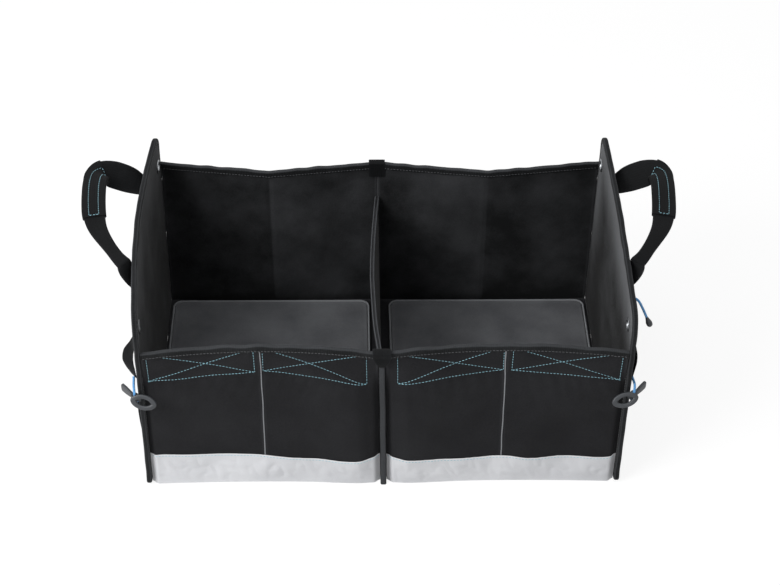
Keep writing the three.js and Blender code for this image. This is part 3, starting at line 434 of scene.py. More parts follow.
# %% Elastic cord and toggle
ELASTIC_RADIUS, TOGGLE_RADIUS, TOGGLE_LENGTH = 1.7, 4.2, 17
cord_start = np.array([HALF + bow(80, 262) - OUTER + 2 * GAP, 80, 262])
bends = cord_start + [[0, 0, 0], [4, 0, 0], [10, -1, -3], [17, -2, -15], [24, -2, -31]]
cord_path = smooth_path(bends, 25)
elastic_cord = piece("elastic_cord_braided", [tube(cord_path, ELASTIC_RADIUS)], elastic, "elastic_cord")
along = unit(cord_path[-1] - bends[-2])
# The toggle is turned: shares of its radius, and of its length from the cord's end.
turned = np.array([[0.05, 0], [0.3, 0.01], [0.45, 0.035], [0.5, 0.1], [0.57, 0.18], [0.72, 0.33], [0.9, 0.5],
                   [1, 0.65], [0.97, 0.78], [0.86, 0.88], [0.66, 0.95], [0.43, 0.985], [0.05, 1]])
turned = np.stack([np.interp(np.linspace(0, 12, 37), range(13), turned[:, k]) for k in (0, 1)], -1)
toggle_line = cord_path[-1] + along * GAP + along * TOGGLE_LENGTH * turned[:, 1:]
toggle = piece("cord_toggle_moulded", [tube(toggle_line, TOGGLE_RADIUS * turned[:, 0], 24)], plastic,
               "cord_toggle")

# %% [markdown]
# ## Floor boards
# A loose board wrapped in grey cloth lies in each bay, with round corners and a piping sewn round its upper
# edge. Its shape is one closed outline, shrunk in rings towards the middle, and the cloth is a little slack,
# so the top has soft hollows. The hollows are a sum of long sine waves with seeded directions.

# %% Soft random relief, and an outline with round corners
def field(a, b, seed, length):
    """Smooth random heights of about -1 to 1: ten sine waves across the plane of a and b, added and divided
    by 3.2. Their directions and phases are seeded, and each is one to three times length millimetres long."""
    dice = np.random.default_rng(seed)
    turn, phase, size = dice.uniform(0, 2 * np.pi, (2, 10)).tolist() + [dice.uniform(1, 3, 10).tolist()]
    waves = [np.sin(2 * np.pi / (length * s) * (a * np.cos(t) + b * np.sin(t)) + p)
             for t, p, s in zip(turn, phase, size)]
    return sum(waves) / 3.2


def rounded(corners, inset=0, arc=10, pitch=6):
    """A closed outline through corners (a, b, radius), counter-clockwise. Each corner is an arc whose centre
    lies radius / cos(half the turn) inside it, and inset moves the whole outline inwards."""
    at = np.array([c[:2] for c in corners], float)
    radius = np.array([c[2] for c in corners], float)
    onward = unit(np.roll(at, -1, 0) - at)
    before = np.roll(onward, 1, 0)
    turn = np.arccos((before * onward).sum(1))
    start = at - before * (radius * np.tan(turn / 2))[:, None]
    inner = join(-before[:, 1], before[:, 0])
    centre = start + inner * radius[:, None]
    angle = np.arctan2(-inner[:, 1], -inner[:, 0])[:, None] + turn[:, None] * np.linspace(0, 1, arc + 1)
    arcs = centre[:, None] + (radius - inset)[:, None, None] * join(np.cos(angle), np.sin(angle))
    whole = []
    for k, points in enumerate(arcs):
        to = arcs[(k + 1) % len(arcs)][0]
        count = max(2, round(np.linalg.norm(at[(k + 1) % len(at)] - at[k]) / pitch))
        edge = points[-1] + (to - points[-1]) * np.linspace(0, 1, count + 1)[1:-1, None]
        whole += [points, edge]
    return np.concatenate(whole)


def disc(outline, centre, near, far, rim, rings):
    """A sheet inside an outline. near and far give a point of space for each (a, b), and the outline is
    scaled towards the centre in rings, close together at the rim, where both faces meet."""
    reach = np.linalg.norm(outline - centre, axis=1).mean()
    depth = np.concatenate([rim * RIM_STEPS, np.linspace(rim, reach * 0.96, rings)[1:]])
    share = fullness(depth, rim)[:, None, None]
    flat = centre + (1 - depth / reach)[:, None, None] * (outline - centre)
    a, b = near(flat[..., 0], flat[..., 1]), far(flat[..., 0], flat[..., 1])
    top, low = (a + b) / 2 + (a - b) / 2 * share, (a + b) / 2 - (a - b) / 2 * share
    n, k = top.shape[:2]
    front = np.arange(n * k).reshape(n, k)
    back = np.concatenate([front[:1], n * k + np.arange((n - 1) * k).reshape(n - 1, k)])
    on = lambda m: np.roll(m, -1, 1)
    cell = lambda m: join(m[:-1], on(m[:-1]), on(m[1:]), m[1:]).reshape(-1, 4)
    quads = np.concatenate([cell(front), cell(back)[:, ::-1]])
    both = lambda a, b: np.concatenate([a.reshape(n * k, -1), b[1:].reshape((n - 1) * k, -1)])
    wear = np.exp(-((depth / WORN_RIM) ** 2))[:, None] * np.ones(k)
    ends = [front[-1].tolist(), back[-1][::-1].tolist()]
    return both(top, low), quads, both(flat, flat)[quads] / 1000, both(wear, wear).ravel(), ends


def mirrored(shells, side):
    """The same shells with x turned over for the left side."""
    return [(points * [side, 1, 1], *rest) for points, *rest in shells]


SIDES = (("right", 1), ("left", -1))
print("an end wall's outline has", len(rounded([(0, 0, 9), (99, 0, 9), (99, 99, 9), (0, 99, 9)])), "points")

# %% Floor boards and their piping
BOARD_FOOT, BOARD_HEAD, BOARD_ROUND, PIPING = BASE + GAP, BASE + GAP + FLOOR, 14, 1.5
board_x, board_y = (WALL_START + 10, HALF - STACK - 4), (5 + 3 + WALL + 5, DEPTH - WALL - 8)
board_corners = [(board_x[i], board_y[j], BOARD_ROUND) for i, j in ((0, 0), (1, 0), (1, 1), (0, 1))]
board_line = rounded(board_corners, 3.3)
board_middle = np.array([sum(board_x) / 2, sum(board_y) / 2])
pipe = np.stack([np.concatenate([rounded(board_corners, PIPING * (1 + np.cos(t))),
                                 np.full((len(board_line), 1), BOARD_HEAD - PIPING + PIPING * np.sin(t))], 1)
                 for t in np.radians(np.arange(0, 360, 36))], 1)
board_foot = lambda x, y: join(x, y, BOARD_FOOT)
for side, turn in SIDES:
    def board_top(x, y):
        """The board's top at 8.3 mm with hollows of up to a millimetre, flat at its rim."""
        near = [np.minimum(at - low, high - at) for at, (low, high) in ((x, board_x), (y, board_y))]
        hollow = ease(0, 40, np.minimum(*near)) * (0.5 + 0.6 * field(x, y, 3 + turn, 90))
        return join(x, y, BOARD_HEAD - hollow)
    board = disc(board_line, board_middle, board_top, board_foot, 2.5, 30)
    piece(f"floor_board_cloth_{side}", mirrored([board], turn), board_cloth, f"floor_board_{side}")
    piece(f"floor_piping_tape_{side}", mirrored([carried(pipe, looped=True)], turn), piping_cloth,
          f"floor_piping_{side}")

# %% [markdown]
# ## Front wall
# The front wall is two boards to a bay, folded back a little at the crease between them, where a grey piping
# is sewn. The outer cloth is stitched to the boards in a crossed box on each panel, and the pull of those
# seams makes shallow valleys with drag lines under them. All layers of the wall use one surface, so they
# stay parallel: y is a setback, plus the crease, minus the swell of the soft middle, plus a recess beside
# the ends and the relief.

# %% Front surface
def tent(t):
    """1 in the middle of 0 to 1 and 0 at both ends, in straight lines."""
    return 1 - np.abs(2 * t - 1)


inner_box = [[20, 184, 20, 226.4], [20, 184, 156, 193.5], [156, 193.5, 156, 226.4], [20, 184, 143, 226.4],
             [156, 193.5, 33, 226.4]]
outer_box = [[168, 226.4, 167, 192.5], [167, 192.5, 305, 186], [305, 186, 306, 226.4],
             [305, 186, 181, 226.4], [167, 192.5, 289, 226.4]]
seams = np.array(inner_box + outer_box, float)


def seam_distance(x, z):
    """Millimetres from (|x|, z) to the nearest line of the crossed boxes, by the foot of the perpendicular."""
    p = join(np.abs(x), z)[..., None, :]
    a, b = seams[:, :2], seams[:, 2:]
    share = np.clip(((p - a) * (b - a)).sum(-1) / ((b - a) ** 2).sum(-1), 0, 1)
    return np.linalg.norm(p - a - share[..., None] * (b - a), axis=-1).min(-1)


def along_bay(x):
    """0 beside the divider and 1 beside the end wall."""
    return (np.abs(x) - WALL_START) / (WALL_END - WALL_START)


def front_relief(x, z):
    """Valleys 0.9 mm deep along the seams, drag lines that fade below them, and slack in the lower cloth."""
    bay = along_bay(x)
    valley = 0.9 * np.exp(-((seam_distance(x, z) / 4.5) ** 2))
    foot = np.interp(np.abs(x), [0, 20, 156, 167, 305, 320], [183, 184, 193.5, 192.5, 186, 185])
    under = np.clip(foot - z, 0, None)
    drag = 0.9 * np.sin(2 * np.pi * (np.abs(x) + 0.25 * z) / 19 + 2 * field(x, z, 5, 80))
    drag = drag * np.exp(-under / 24) * (under > 0) * (1 - np.exp(-under / 4))
    slack = 2.0 * field(x, 0.45 * z, 8, 60) * ease(0, 30, z) * (1 - ease(170, 232, z))
    return valley + (drag + slack) * ease(0, 0.08, bay) * ease(0, 0.06, 1 - bay)


def front_face(x, z):
    """The outer face of the front wall, as in the CAD source, with the relief added."""
    height = z / FRONT_TOP
    crease = lerp(3, FRONT_CREASE, height) * (1 - (1 - tent(along_bay(x))) ** 2)
    edge = np.minimum(np.abs(x) - WALL_START, WALL_END - np.abs(x))
    swell = 10 * np.exp(-(((np.abs(x) - 42) / 50) ** 2)) * ease(-0.1, 0.22, height)
    swell = swell * (1 - ease(0.72, 1, height)) * ease(0, 30, edge)
    recess = 6 * (1 - ease(0, 9, edge)) * (1 - ease(0.7, 0.92, height))
    return lerp(5, 2, height) + crease - swell + recess + front_relief(x, z)


def level(height):
    """A top edge that keeps one height."""
    return lambda x: 0.0 * x + height


def wall(face, x0, x1, low, high, near, far, pitch=2.6):
    """A sheet between two depths behind a face, from x0 to x1, and from low to high, a function of x."""
    rim = (far - near) / 2
    u = steps(x1 - x0, rim, pitch)
    v = steps(float(np.mean(high(np.array([x0, x1])))) - low, rim, pitch)
    x = np.broadcast_to((x0 + u)[:, None], (len(u), len(v)))
    z = low + (high(x) - low) * v / v[-1]
    y = face(x, z)
    return sheet(join(x, y + near, z), join(x, y + far, z), u, v, rim)


print("relief at a seam", round(float(front_relief(np.array(88.), np.array(189.))), 2), "mm")

# %% Front panels
TUCK = 0.5
for side, turn in SIDES:
    # The relief isn't the same on both sides, so the left panels are worked out at negative x. The two cloths
    # are one in the real wall, so here they reach past each other by the width of the CAD's gap, and past the
    # end wall's gap by the tuck.
    for half, *ends in (("inner", WALL_START, CREASE + GAP / 2),
                        ("outer", CREASE - GAP / 2, WALL_END + TUCK)):
        low, high = sorted(turn * end for end in ends)
        panel = wall(front_face, low, high, 0, level(FRONT_TOP - OUTER), 0, WALL)
        piece(f"front_panel_cloth_{half}_{side}", [panel], outer_cloth, f"front_panel_{half}_{side}")

# %% [markdown]
# The light grey band is a strip of thinner cloth sewn over the foot of the wall. It is a sheet that was cut
# to 309 by 52 mm, and it is pulled along the wall, so it keeps that size. Its top edge wanders by a few
# millimetres, because only the piping and the ends hold it, and it has wrinkles of its own.

# %% Band along the foot
def band_top(x):
    """The height of the band's top edge, from a few heights seen along it, joined by soft curves."""
    at = [-313, -230, -166, -117, -60, -37, -4, 4, 38, 71, 103, 136, 168, 200, 250, 297, 313]
    up = [54, 50, 51.5, 46, 46, 49, 50, 50, 47, 44.5, 43, 43.5, 46, 43.5, 44, 47, 48]
    return np.mean([np.interp(x + shift, at, up) for shift in (-10, -5, 0, 5, 10)], axis=0)


def band_face(x, z):
    """The front face with the band's own wrinkles, which run slanting and are highest in the middle of it."""
    share = np.clip(z / 50, 0, 1)
    bay = along_bay(x)
    wrinkle = 0.9 * field(1.6 * x, z, 21, 24) + 0.6 * np.abs(field(x, 2.2 * z, 22, 30))
    fold_line = 1.1 * np.exp(-np.abs(np.abs(x) - CREASE) / 7)
    held = np.sin(np.pi * share) * ease(0, 0.04, bay) * ease(0, 0.04, 1 - bay)
    return front_face(x, z) - (np.abs(wrinkle) + fold_line) * held


for side, turn in SIDES:
    low, high = sorted((turn * WALL_START, turn * WALL_END))
    band = piece(f"front_band_cloth_{side}",
                 [wall(band_face, low, high, 0, band_top, -BAND - GAP, -GAP, 1.8)], band_cloth,
                 f"front_band_{side}")

# %% [markdown]
# Tape is folded over the top edge and sewn through. Its outline is a ribbon along an upside-down U, carried
# along the wall. The edge is soft, so its height wavers by about 0.7 mm.

# %% Tape over a wall's top edge, and the piping
def fold(width, top, drop, thick=TAPE, dip=0.0):
    """The closed outline of tape folded over an edge of that width: a ribbon along an upside-down U whose
    shoulders are quarter circles. dip lowers its middle."""
    half = width / 2
    turn = np.radians(np.linspace(0, 90, 6))
    left = join(-half + 1.3 - 1.3 * np.cos(turn), top - 1.3 + 1.3 * np.sin(turn))
    legs = join(-half, np.linspace(top - drop, top - 2.2, 5))
    middle = np.array([[-half * 0.35, top - dip], [0, top - 1.2 * dip], [half * 0.35, top - dip]])
    line = np.concatenate([legs, left, middle, (left * [-1, 1])[::-1], (legs * [-1, 1])[::-1]])
    return ribbon(line, thick)


def painted_ridge_highlight(outline, top):
    """A painted highlight where a fold's outline catches the light: 1 at its upper shoulders and 0 below 2 mm.
    """
    return np.exp(-(((outline[:, 1] - top) / 0.9) ** 2))


def hem(face, x, top, near, far, seed):
    """The folded tape carried along x, with each of its points held to the wall's face at its own height."""
    outline = fold(far - near + 2 * OUTER - TAPE, top - TAPE / 2, HEM - TAPE / 2)
    x = x[:, None]
    z = outline[:, 1] + 0.7 * field(x, 0 * x, seed, 18)
    y = face(np.broadcast_to(x, z.shape), z) + (near + far) / 2 + outline[:, 0]
    # The tape's upper shoulders get a painted highlight through the wear values.
    return carried(join(x, y, z), wear=painted_ridge_highlight(outline, top))


for side, turn in SIDES:
    ends = np.array(sorted((turn * WALL_START, turn * WALL_END)))
    piece(f"front_hem_tape_{side}", [hem(front_face, np.linspace(*ends, 120), FRONT_TOP, 0, WALL, 31)],
          binding_tape, f"front_binding_{side}")
    up = np.linspace(band_top(np.array([turn * CREASE]))[0] + 0.5, FRONT_TOP - HEM - GAP, 60)
    seam_x = turn * CREASE + 0.5 * field(up, 0 * up, 33 + turn, 40)
    seam = join(seam_x, front_face(seam_x, up) - 0.8, up)
    piece(f"front_piping_tape_{side}", [tube(seam, 0.85, 10)], piping_cloth, f"front_piping_{side}")

# %% [markdown]
# ## Back wall
# The back wall is seen on its inside. It is one cloth over two boards, with a fine crease between them, and
# the cloth hangs in shallow upright waves. It is the same kind of sheet as the front.

# %% Back wall with its tape
def back_face(x, z):
    """The wall's outer face: 392 mm less a crease that is deepest half way along each bay and at the top,
    plus a groove 2 mm deep there, and upright waves of about two millimetres."""
    t = tent(np.clip(np.abs(x) / WALL_END, 0, 1))
    rise = ease(0, 40, z)
    groove = 2.0 * np.exp(-(((np.abs(x) - WALL_END / 2) / 2.4) ** 2)) * rise * (1 - ease(236, 247, z))
    wave = 2.4 * field(x, 0.15 * z, 41, 55) * rise * (1 - ease(225, 250, z))
    return DEPTH - lerp(4, BACK_CREASE, z / BACK_TOP) * t + groove + wave * ease(0, 0.08, t)


def tone_shifted(shell, change):
    """The same shell with change added to its rim values: paler where change is positive, darker where it is
    negative.
    """
    return (*shell[:3], shell[3] + change, shell[4])


for side, turn in SIDES:
    # The real wall is one cloth that is sewn to the lining, so its ends reach a little past the CAD gaps.
    low, high = sorted((-turn * GAP, turn * (WALL_END + TUCK)))
    panel = wall(back_face, low, high, 0, level(BACK_TOP - OUTER), -WALL, 0, 3)
    # Beside the crease the cloth is painted paler towards the divider and darker towards the end, as painted
    # light and shade of the fold, and the foot is painted darker, as the painted shadow behind the floor
    # board.
    x, z = np.abs(panel[0][:, 0]), panel[0][:, 2]
    painted_crease_shading = np.where(x < WALL_END / 2, 0.25, -0.25) * np.exp(-np.abs(x - WALL_END / 2) / 70)
    piece(f"back_wall_cloth_{side}", [tone_shifted(panel, painted_crease_shading - 0.6 * np.exp(-((z / 14) ** 2)))], wall_cloth,
          f"back_wall_{side}")
    piece(f"back_hem_tape_{side}", [hem(back_face, np.linspace(low, high, 120), BACK_TOP, -WALL, 0, 43)],
          binding_tape, f"back_binding_{side}")

# %% [markdown]
# ## Base and divider
# The base is a single cloth. The divider is a thinner board across the middle, bound along its top with tape
# that has two sharp ridges, and along its front with a wider one. It has sagged and bows to the left, more
# towards its top: x is -12 times half a sine wave of y times the square of the height.

# %% Base sheet
u = steps(2 * (WALL_END + TUCK), BASE / 2, 8)
v = steps(DEPTH, BASE / 2, 8)
x = np.broadcast_to((u - WALL_END - TUCK)[:, None], (len(u), len(v)))
inside = np.where(np.abs(x) < WALL_START, WALL_START, np.abs(x)) * np.where(x < 0, -1, 1)
front_line = front_face(inside, 0 * x + BASE) + WALL - GAP
rear_line = back_face(x, 0 * x + BASE) - WALL + GAP
y = lerp(front_line, rear_line, v / v[-1])
piece("base_cloth", [sheet(join(x, y, BASE), join(x, y, 0), u, v, BASE / 2)], outer_cloth, "base_sheet")


# %% Divider
def divider_top(y):
    """Straight from 216 mm at the front to 198 mm at the back, less a sag of 8 mm in the middle."""
    return lerp(216, 198, y / DEPTH) - 8 * np.sin(np.pi * y / DEPTH)


def divider_x(y, z):
    """The bow to the left, which the height's square brings in."""
    along = np.clip((y - 10.4) / (DEPTH - 10.4), 0, 1)
    return -12 * np.sin(np.pi * along) * (z / 216) ** 2 + 0.5 * field(y, z, 51, 60) * np.sin(np.pi * along)


y_end = DEPTH - BACK_CREASE * 4 / WALL_END - WALL - GAP
u = steps(y_end - TAPE, DIVIDER / 2, 3)
v = steps(200, DIVIDER / 2, 3)
y = np.broadcast_to((TAPE + u)[:, None], (len(u), len(v)))
z = lerp(BASE + GAP, divider_top(y) - TAPE - GAP, v / v[-1])
middle_x = divider_x(y, z)
faces = [join(middle_x + off, y, z) for off in (DIVIDER / 2, -DIVIDER / 2)]
# The divider's faces get 0.3 less of the worn colour than the walls of the same cloth, so they are darker.
piece("divider_cloth", [tone_shifted(sheet(*faces, u, v, DIVIDER / 2), -0.3)], wall_cloth, "divider_panel")

outline = fold(5.6, -TAPE / 2, 7.4, dip=2.0)
y = np.linspace(10.4, y_end, 130)[:, None]
z = divider_top(y) + outline[:, 1] + 0.3 * field(y, 0 * y, 52, 16)
# Its two top ridges get a painted highlight through the wear values.
piece("divider_top_tape", [carried(join(divider_x(y, z) + outline[:, 0], y, z),
                                   wear=2.2 * painted_ridge_highlight(outline, 0) * (np.abs(outline[:, 0]) > 1.6))],
      binding_tape, "divider_top_binding")

outline = fold(6.2, 0, 8.1, thick=1.8)
z = np.linspace(0, FRONT_TOP - TAPE, 90)[:, None]
wander = 0.4 * field(z, 0 * z, 53, 40)
# Its shoulders get a painted highlight through the wear values.
piece("divider_front_tape", [carried(join(outline[:, 0] + wander, 0.6 - outline[:, 1], z),
                                     wear=painted_ridge_highlight(outline, 0.9))], binding_tape, "divider_front_binding")

# %% [markdown]
# ## End walls
# Each end is a board between black cloth outside and grey lining inside. Its upper corners are round, and it
# bows out a little. The black cloth, the lining and the binding all follow one surface: x is half the length,
# less the depth into the wall, plus the bow and a soft relief.

# %% End wall's surface, outer cloth and lining
end_corners = [(0, 0, 10), (DEPTH, 0, 10), (DEPTH, END_BACK, 22), (0, END_FRONT, 28)]
end_middle = np.array([DEPTH / 2, END_FRONT / 2])
eyelet_spots = [(y, lerp(END_FRONT, END_BACK, y / DEPTH) - drop) for y, drop in ((40, 41), (DEPTH - 24, 42))]


def end_point(y, z, inward, seed):
    """A point of the end wall, inward millimetres below its outer face: the bow, and a relief of soft waves
    of up to 0.7 mm that fade towards the edges."""
    y, z, inward = np.broadcast_arrays(y, z, inward)
    inside = ease(0, 60, y) * ease(0, 60, DEPTH - y) * ease(0, 40, z) * ease(0, 70, END_FRONT - z)
    return join(HALF - inward + bow(y, z) + 0.7 * inside * field(y, z, seed, 90), y, z)


def with_holes(made, side):
    """Cuts the eyelets' round holes with Boolean, and puts the cut mesh in place of the whole one."""
    for y, z in eyelet_spots:
        spot = place([side * HALF, y, z])
        bpy.ops.mesh.primitive_cylinder_add(radius=0.007, depth=0.06, location=spot.tolist(),
                                            rotation=(0, np.pi / 2, 0))
        drill = bpy.context.object
        cut = made.modifiers.new("hole", "BOOLEAN")
        cut.object, cut.solver = drill, "EXACT"
        bpy.context.view_layer.update()
        whole = made.evaluated_get(bpy.context.evaluated_depsgraph_get())
        made.data = bpy.data.meshes.new_from_object(whole)
        made.modifiers.clear()
        bpy.data.objects.remove(drill)


END_SEED = 61
for side, turn in SIDES:
    at_depth = lambda depth: lambda y, z: end_point(y, z, depth, END_SEED + turn)
    panel = disc(rounded(end_corners, OUTER), end_middle, at_depth(OUTER), at_depth(OUTER + BOARD), 1.9, 44)
    with_holes(piece(f"end_cloth_{side}", mirrored([panel], turn), outer_cloth, f"end_panel_{side}"), turn)
    lining = disc(rounded(end_corners, TAPE_DEPTH + GAP), end_middle, at_depth(STACK), at_depth(FLANGE), 0.6,
                  44)
    # A wide band along the binding is painted paler, as painted light that is strongest on the right and high
    # up, and the lower lining is painted darker, as painted shade.
    y, z = lining[0][:, 1], lining[0][:, 2]
    edge = np.minimum(DEPTH - y, lerp(END_FRONT, END_BACK, y / DEPTH) - z)
    painted_light_band = (1.15 if turn > 0 else 0.3) * np.exp(-((np.clip(edge - TAPE_DEPTH, 0, None) / 48) ** 2))
    lining_painted_light = painted_light_band * ease(40, 240, z) - 0.16 * (1 - ease(60, 250, z))
    lining = (*lining[:3], lining_painted_light, lining[4])
    with_holes(piece(f"end_lining_cloth_{side}", mirrored([lining], turn), lining_cloth,
                     f"end_lining_{side}"), turn)

# %% [markdown]
# The binding is tape folded round the wall's whole edge. Its outline is again a ribbon along a U, and the
# path is the wall's own rounded outline. Two rows of small stitches hold it. An eyelet is pressed sheet steel,
# so its outline is a C with rolled lips, spun about the hole.

# %% Bindings and eyelets
def bound(seed):
    """The binding's loop: at each point of the outline, a U in (inset, inward) millimetres."""
    turn = np.radians(np.linspace(0, 90, 6))
    corner = TAPE / 2 + 1.4 - 1.4 * join(np.sin(turn), np.cos(turn))
    leg = join(np.linspace(TAPE_DEPTH - TAPE / 2, TAPE / 2 + 1.8, 5), TAPE / 2)
    other = (np.concatenate([leg, corner]) * [1, -1] + [0, STACK])[::-1]
    section = ribbon(np.concatenate([leg, corner, [[TAPE / 2, STACK / 2]], other]), TAPE)
    inset, inward = section.T
    off_middle = np.abs(inward - STACK / 2)
    y, z = np.moveaxis(np.stack([rounded(end_corners, by) for by in inset], 1), -1, 0)
    waver = 0.25 * field(y, z, 70, 22) * (off_middle > 1)
    wear = np.exp(-((inset / 1.1) ** 2)) * np.exp(-(((off_middle - 2.7) / 0.9) ** 2))
    return carried(end_point(y, z, inward - waver, seed), looped=True, wear=wear)


lip = np.array([[9.1, -0.85], [8.2, -0.45], [7.1, -0.3], [6.1, -0.7], [5.6, -1.6], [5.5, -4.1], [5.6, -6.7],
                [6.1, -7.6], [7.1, -8.0], [8.2, -7.85], [9.1, -7.45]])
radius, height = ribbon(lip, 0.8).T
spin = circle(40)[:, None]
for side, turn in SIDES:
    piece(f"end_binding_tape_{side}", mirrored([bound(END_SEED + turn)], turn), binding_tape,
          f"end_binding_{side}")
    for name, (y, z) in zip(("front", "rear"), eyelet_spots):
        spun = end_point(y + radius * np.cos(spin), z + radius * np.sin(spin), -height, END_SEED + turn)
        piece(f"eyelet_steel_{name}_{side}", mirrored([carried(spun, looped=True)], turn), metal,
              f"eyelet_{name}_{side}")

# %% [markdown]
# ## Webbing
# Webbing is a flat strip with slightly rounded edges. Its outline is a superellipse, whose cosine and sine
# are raised to small powers, so it is nearly a rectangle. It is carried along a path, with its width turned
# along a second direction. The tabs that join the divider to the long walls are short pieces of it.

# %% Straps and tabs
def superellipse(around, wide, deep, start=1):
    """Points round a section: sign(cos)|cos|^wide across it and sign(sin)|sin|^deep through it. start turns
    the first one by half a step."""
    turn = circle(around) + start * np.pi / around
    power = lambda wave, by: np.sign(wave) * np.abs(wave) ** by
    return power(np.cos(turn), wide), power(np.sin(turn), deep)


def rings_about(path, side, up, section, width, thick):
    """Rings about a path: the section's two shares of the half width and half thickness, along side and up."""
    wide, deep = section
    width, thick = (np.broadcast_to(size, len(path))[:, None, None] / 2 for size in (width, thick))
    return path[:, None] + wide[:, None] * width * side[:, None] + deep[:, None] * thick * up[:, None]


def bar(path, across, width, thick, section=superellipse(24, 0.25, 0.6), worn=0.6):
    """A strap or bar along a path, closed at its ends. Its two edges are worn."""
    _, side, up = axes_of(path, np.broadcast_to(across, path.shape))
    return carried(rings_about(path, side, up, section, width, thick), wear=worn * np.abs(section[0]) ** 12)


def over_edge(y_out, y_in, top, drop_out, drop_in):
    """A path in the plane x = 0 over an edge: up, half an ellipse 0.35 as high as it is wide, and down."""
    half, middle = (y_in - y_out) / 2, (y_in + y_out) / 2
    turn = np.linspace(np.pi, 0, 17)
    arch = join(0, middle + half * np.cos(turn), top + 0.35 * abs(half) * np.sin(turn))
    leg = lambda y, drop: join(0, y, np.linspace(top - drop, top - 1, 6))
    return np.concatenate([leg(y_out, drop_out), arch, leg(y_in, drop_in)[::-1]])


TAB_HALF, TAB_WIDE = 11.5, 24
proud = GAP + TAPE / 2
front_reach = 2 + FRONT_CREASE * (1 - (1 - tent(along_bay(TAB_HALF))) ** 2)
front_tab = over_edge(-OUTER - proud, front_reach + WALL + OUTER + proud, FRONT_TOP + proud, 20, 12)
front_tab = smooth_path(front_tab, 60)
front_tab[:, 1:] += 0.8 * np.stack([field(front_tab[:, 1], front_tab[:, 2], seed, 7) for seed in (71, 72)], -1)
# In front the tab narrows from its full width to that of the divider's own tape below it.
tab_width = lerp(10, TAB_WIDE, ease(FRONT_TOP - 20, FRONT_TOP - 3, front_tab[:, 2]))
tab_width = np.where(front_tab[:, 1] < 1, tab_width, TAB_WIDE)
piece("front_tab_webbing", [bar(front_tab, [1.0, 0, 0], tab_width, TAPE)], webbing_cloth, "front_tab")
rear_near = DEPTH - BACK_CREASE * TAB_HALF / WALL_END - WALL - OUTER - proud
back_tab = over_edge(rear_near, DEPTH + OUTER + proud, BACK_TOP + proud, 22, 22)
piece("back_tab_webbing", [bar(back_tab, [1.0, 0, 0], TAB_WIDE - 1, TAPE)], webbing_cloth, "back_tab")

# %% [markdown]
# ## Handles
# A handle is one length of webbing whose ends are sewn flat on the end wall. It leaves the wall facing
# forwards, turns over and lies flat in the grip, where it is folded double and a cover is sewn round it. The
# path goes through the CAD source's own stations. At each, flat says how far it has turned over, and tilt
# how far it leans.

# %% Handle path
stations = np.array([
    [0.04, 0, 0.18, 0, 0], [0.14, 0, 0.38, 0.15, 20], [0.27, 0.015, 0.52, 0.6, 30],
    [0.41, 0.065, 0.64, 0.9, 45], [0.61, 0.165, 0.76, 1, 45], [0.79, 0.29, 0.86, 1, 45],
    [0.88, 0.425, 0.94, 1, 45], [0.965, 0.64, 1, 1, 50], [1, 0.78, 1, 1, 50],
    [0.99, 0.87, 0.96, 0.8, 50], [0.89, 0.925, 0.87, 0.35, 50], [0.68, 0.955, 0.72, 0, 50],
    [0.41, 0.97, 0.54, 0, 45], [0.205, 0.985, 0.38, 0, 25], [0.085, 0.995, 0.26, 0, 8],
    [0.025, 1, 0.12, 0, 0]])
SEWN_TOP, SEWN_FOOT, REACH, RISE, Y_FRONT, Y_REAR = 268, 202, 58.5, 49, 108, 306


def handle_frames(count=260):
    """The path, the across direction, the width and the thickness at each of count even steps."""
    sewn = np.zeros((3, 5))
    rows = np.concatenate([sewn, stations, sewn + [0, 1, 0, 0, 0]])
    y = lerp(Y_FRONT, Y_REAR, rows[:, 1])
    z = SEWN_TOP + rows[:, 2] * RISE
    z[:3], z[-3:] = (SEWN_FOOT, 235, SEWN_TOP), (SEWN_TOP, 235, SEWN_FOOT)
    x = HALF + bow(y, np.minimum(z, SEWN_TOP)) - OUTER + 2 * GAP + 0.9 + rows[:, 0] * REACH
    share = np.linspace(0, 1, count)
    path = smooth_path(join(x, y, z), share)
    span = share * (len(rows) - 1)
    soft = np.hanning(13) / np.hanning(13).sum()
    flat, tilt = (np.convolve(np.pad(np.interp(span, range(len(rows)), rows[:, k]), 6, mode="edge"), soft,
                              "valid") for k in (3, 4))
    tilt = np.radians(tilt)
    turn = np.where(share < 0.5, -1, 1)[:, None]
    slope = BOW * np.pi / DEPTH * np.cos(np.pi * path[:, 1] / DEPTH) * SEWN_TOP / END_BACK
    across = turn * join(slope, np.cos(tilt), np.sin(tilt)) * (1 - flat)[:, None]
    across[:, 0] += flat
    across = unit(across)
    # The front leg is drawn together where it turns, to three fifths of its width, and towards its inner edge.
    pull = 0.4 * ease(0.15, 0.24, share) * (1 - ease(0.3, 0.44, share))
    wide = lerp(38, 29, flat)
    return path - across * (wide * pull / 2)[:, None], across, wide * (1 - pull), lerp(1.8, 3.4, flat)


path, across, width, thick = handle_frames()
print("handle", round(float(np.linalg.norm(np.diff(path, axis=0), axis=1).sum())), "mm of webbing")

# %% [markdown]
# The across direction flips from the front half to the rear half, as the webbing is turned half way round.
# Both halves join in the flat grip, where the direction is along x. The cover is a second skin: out along its
# outside and back along its inside, closed in a loop.

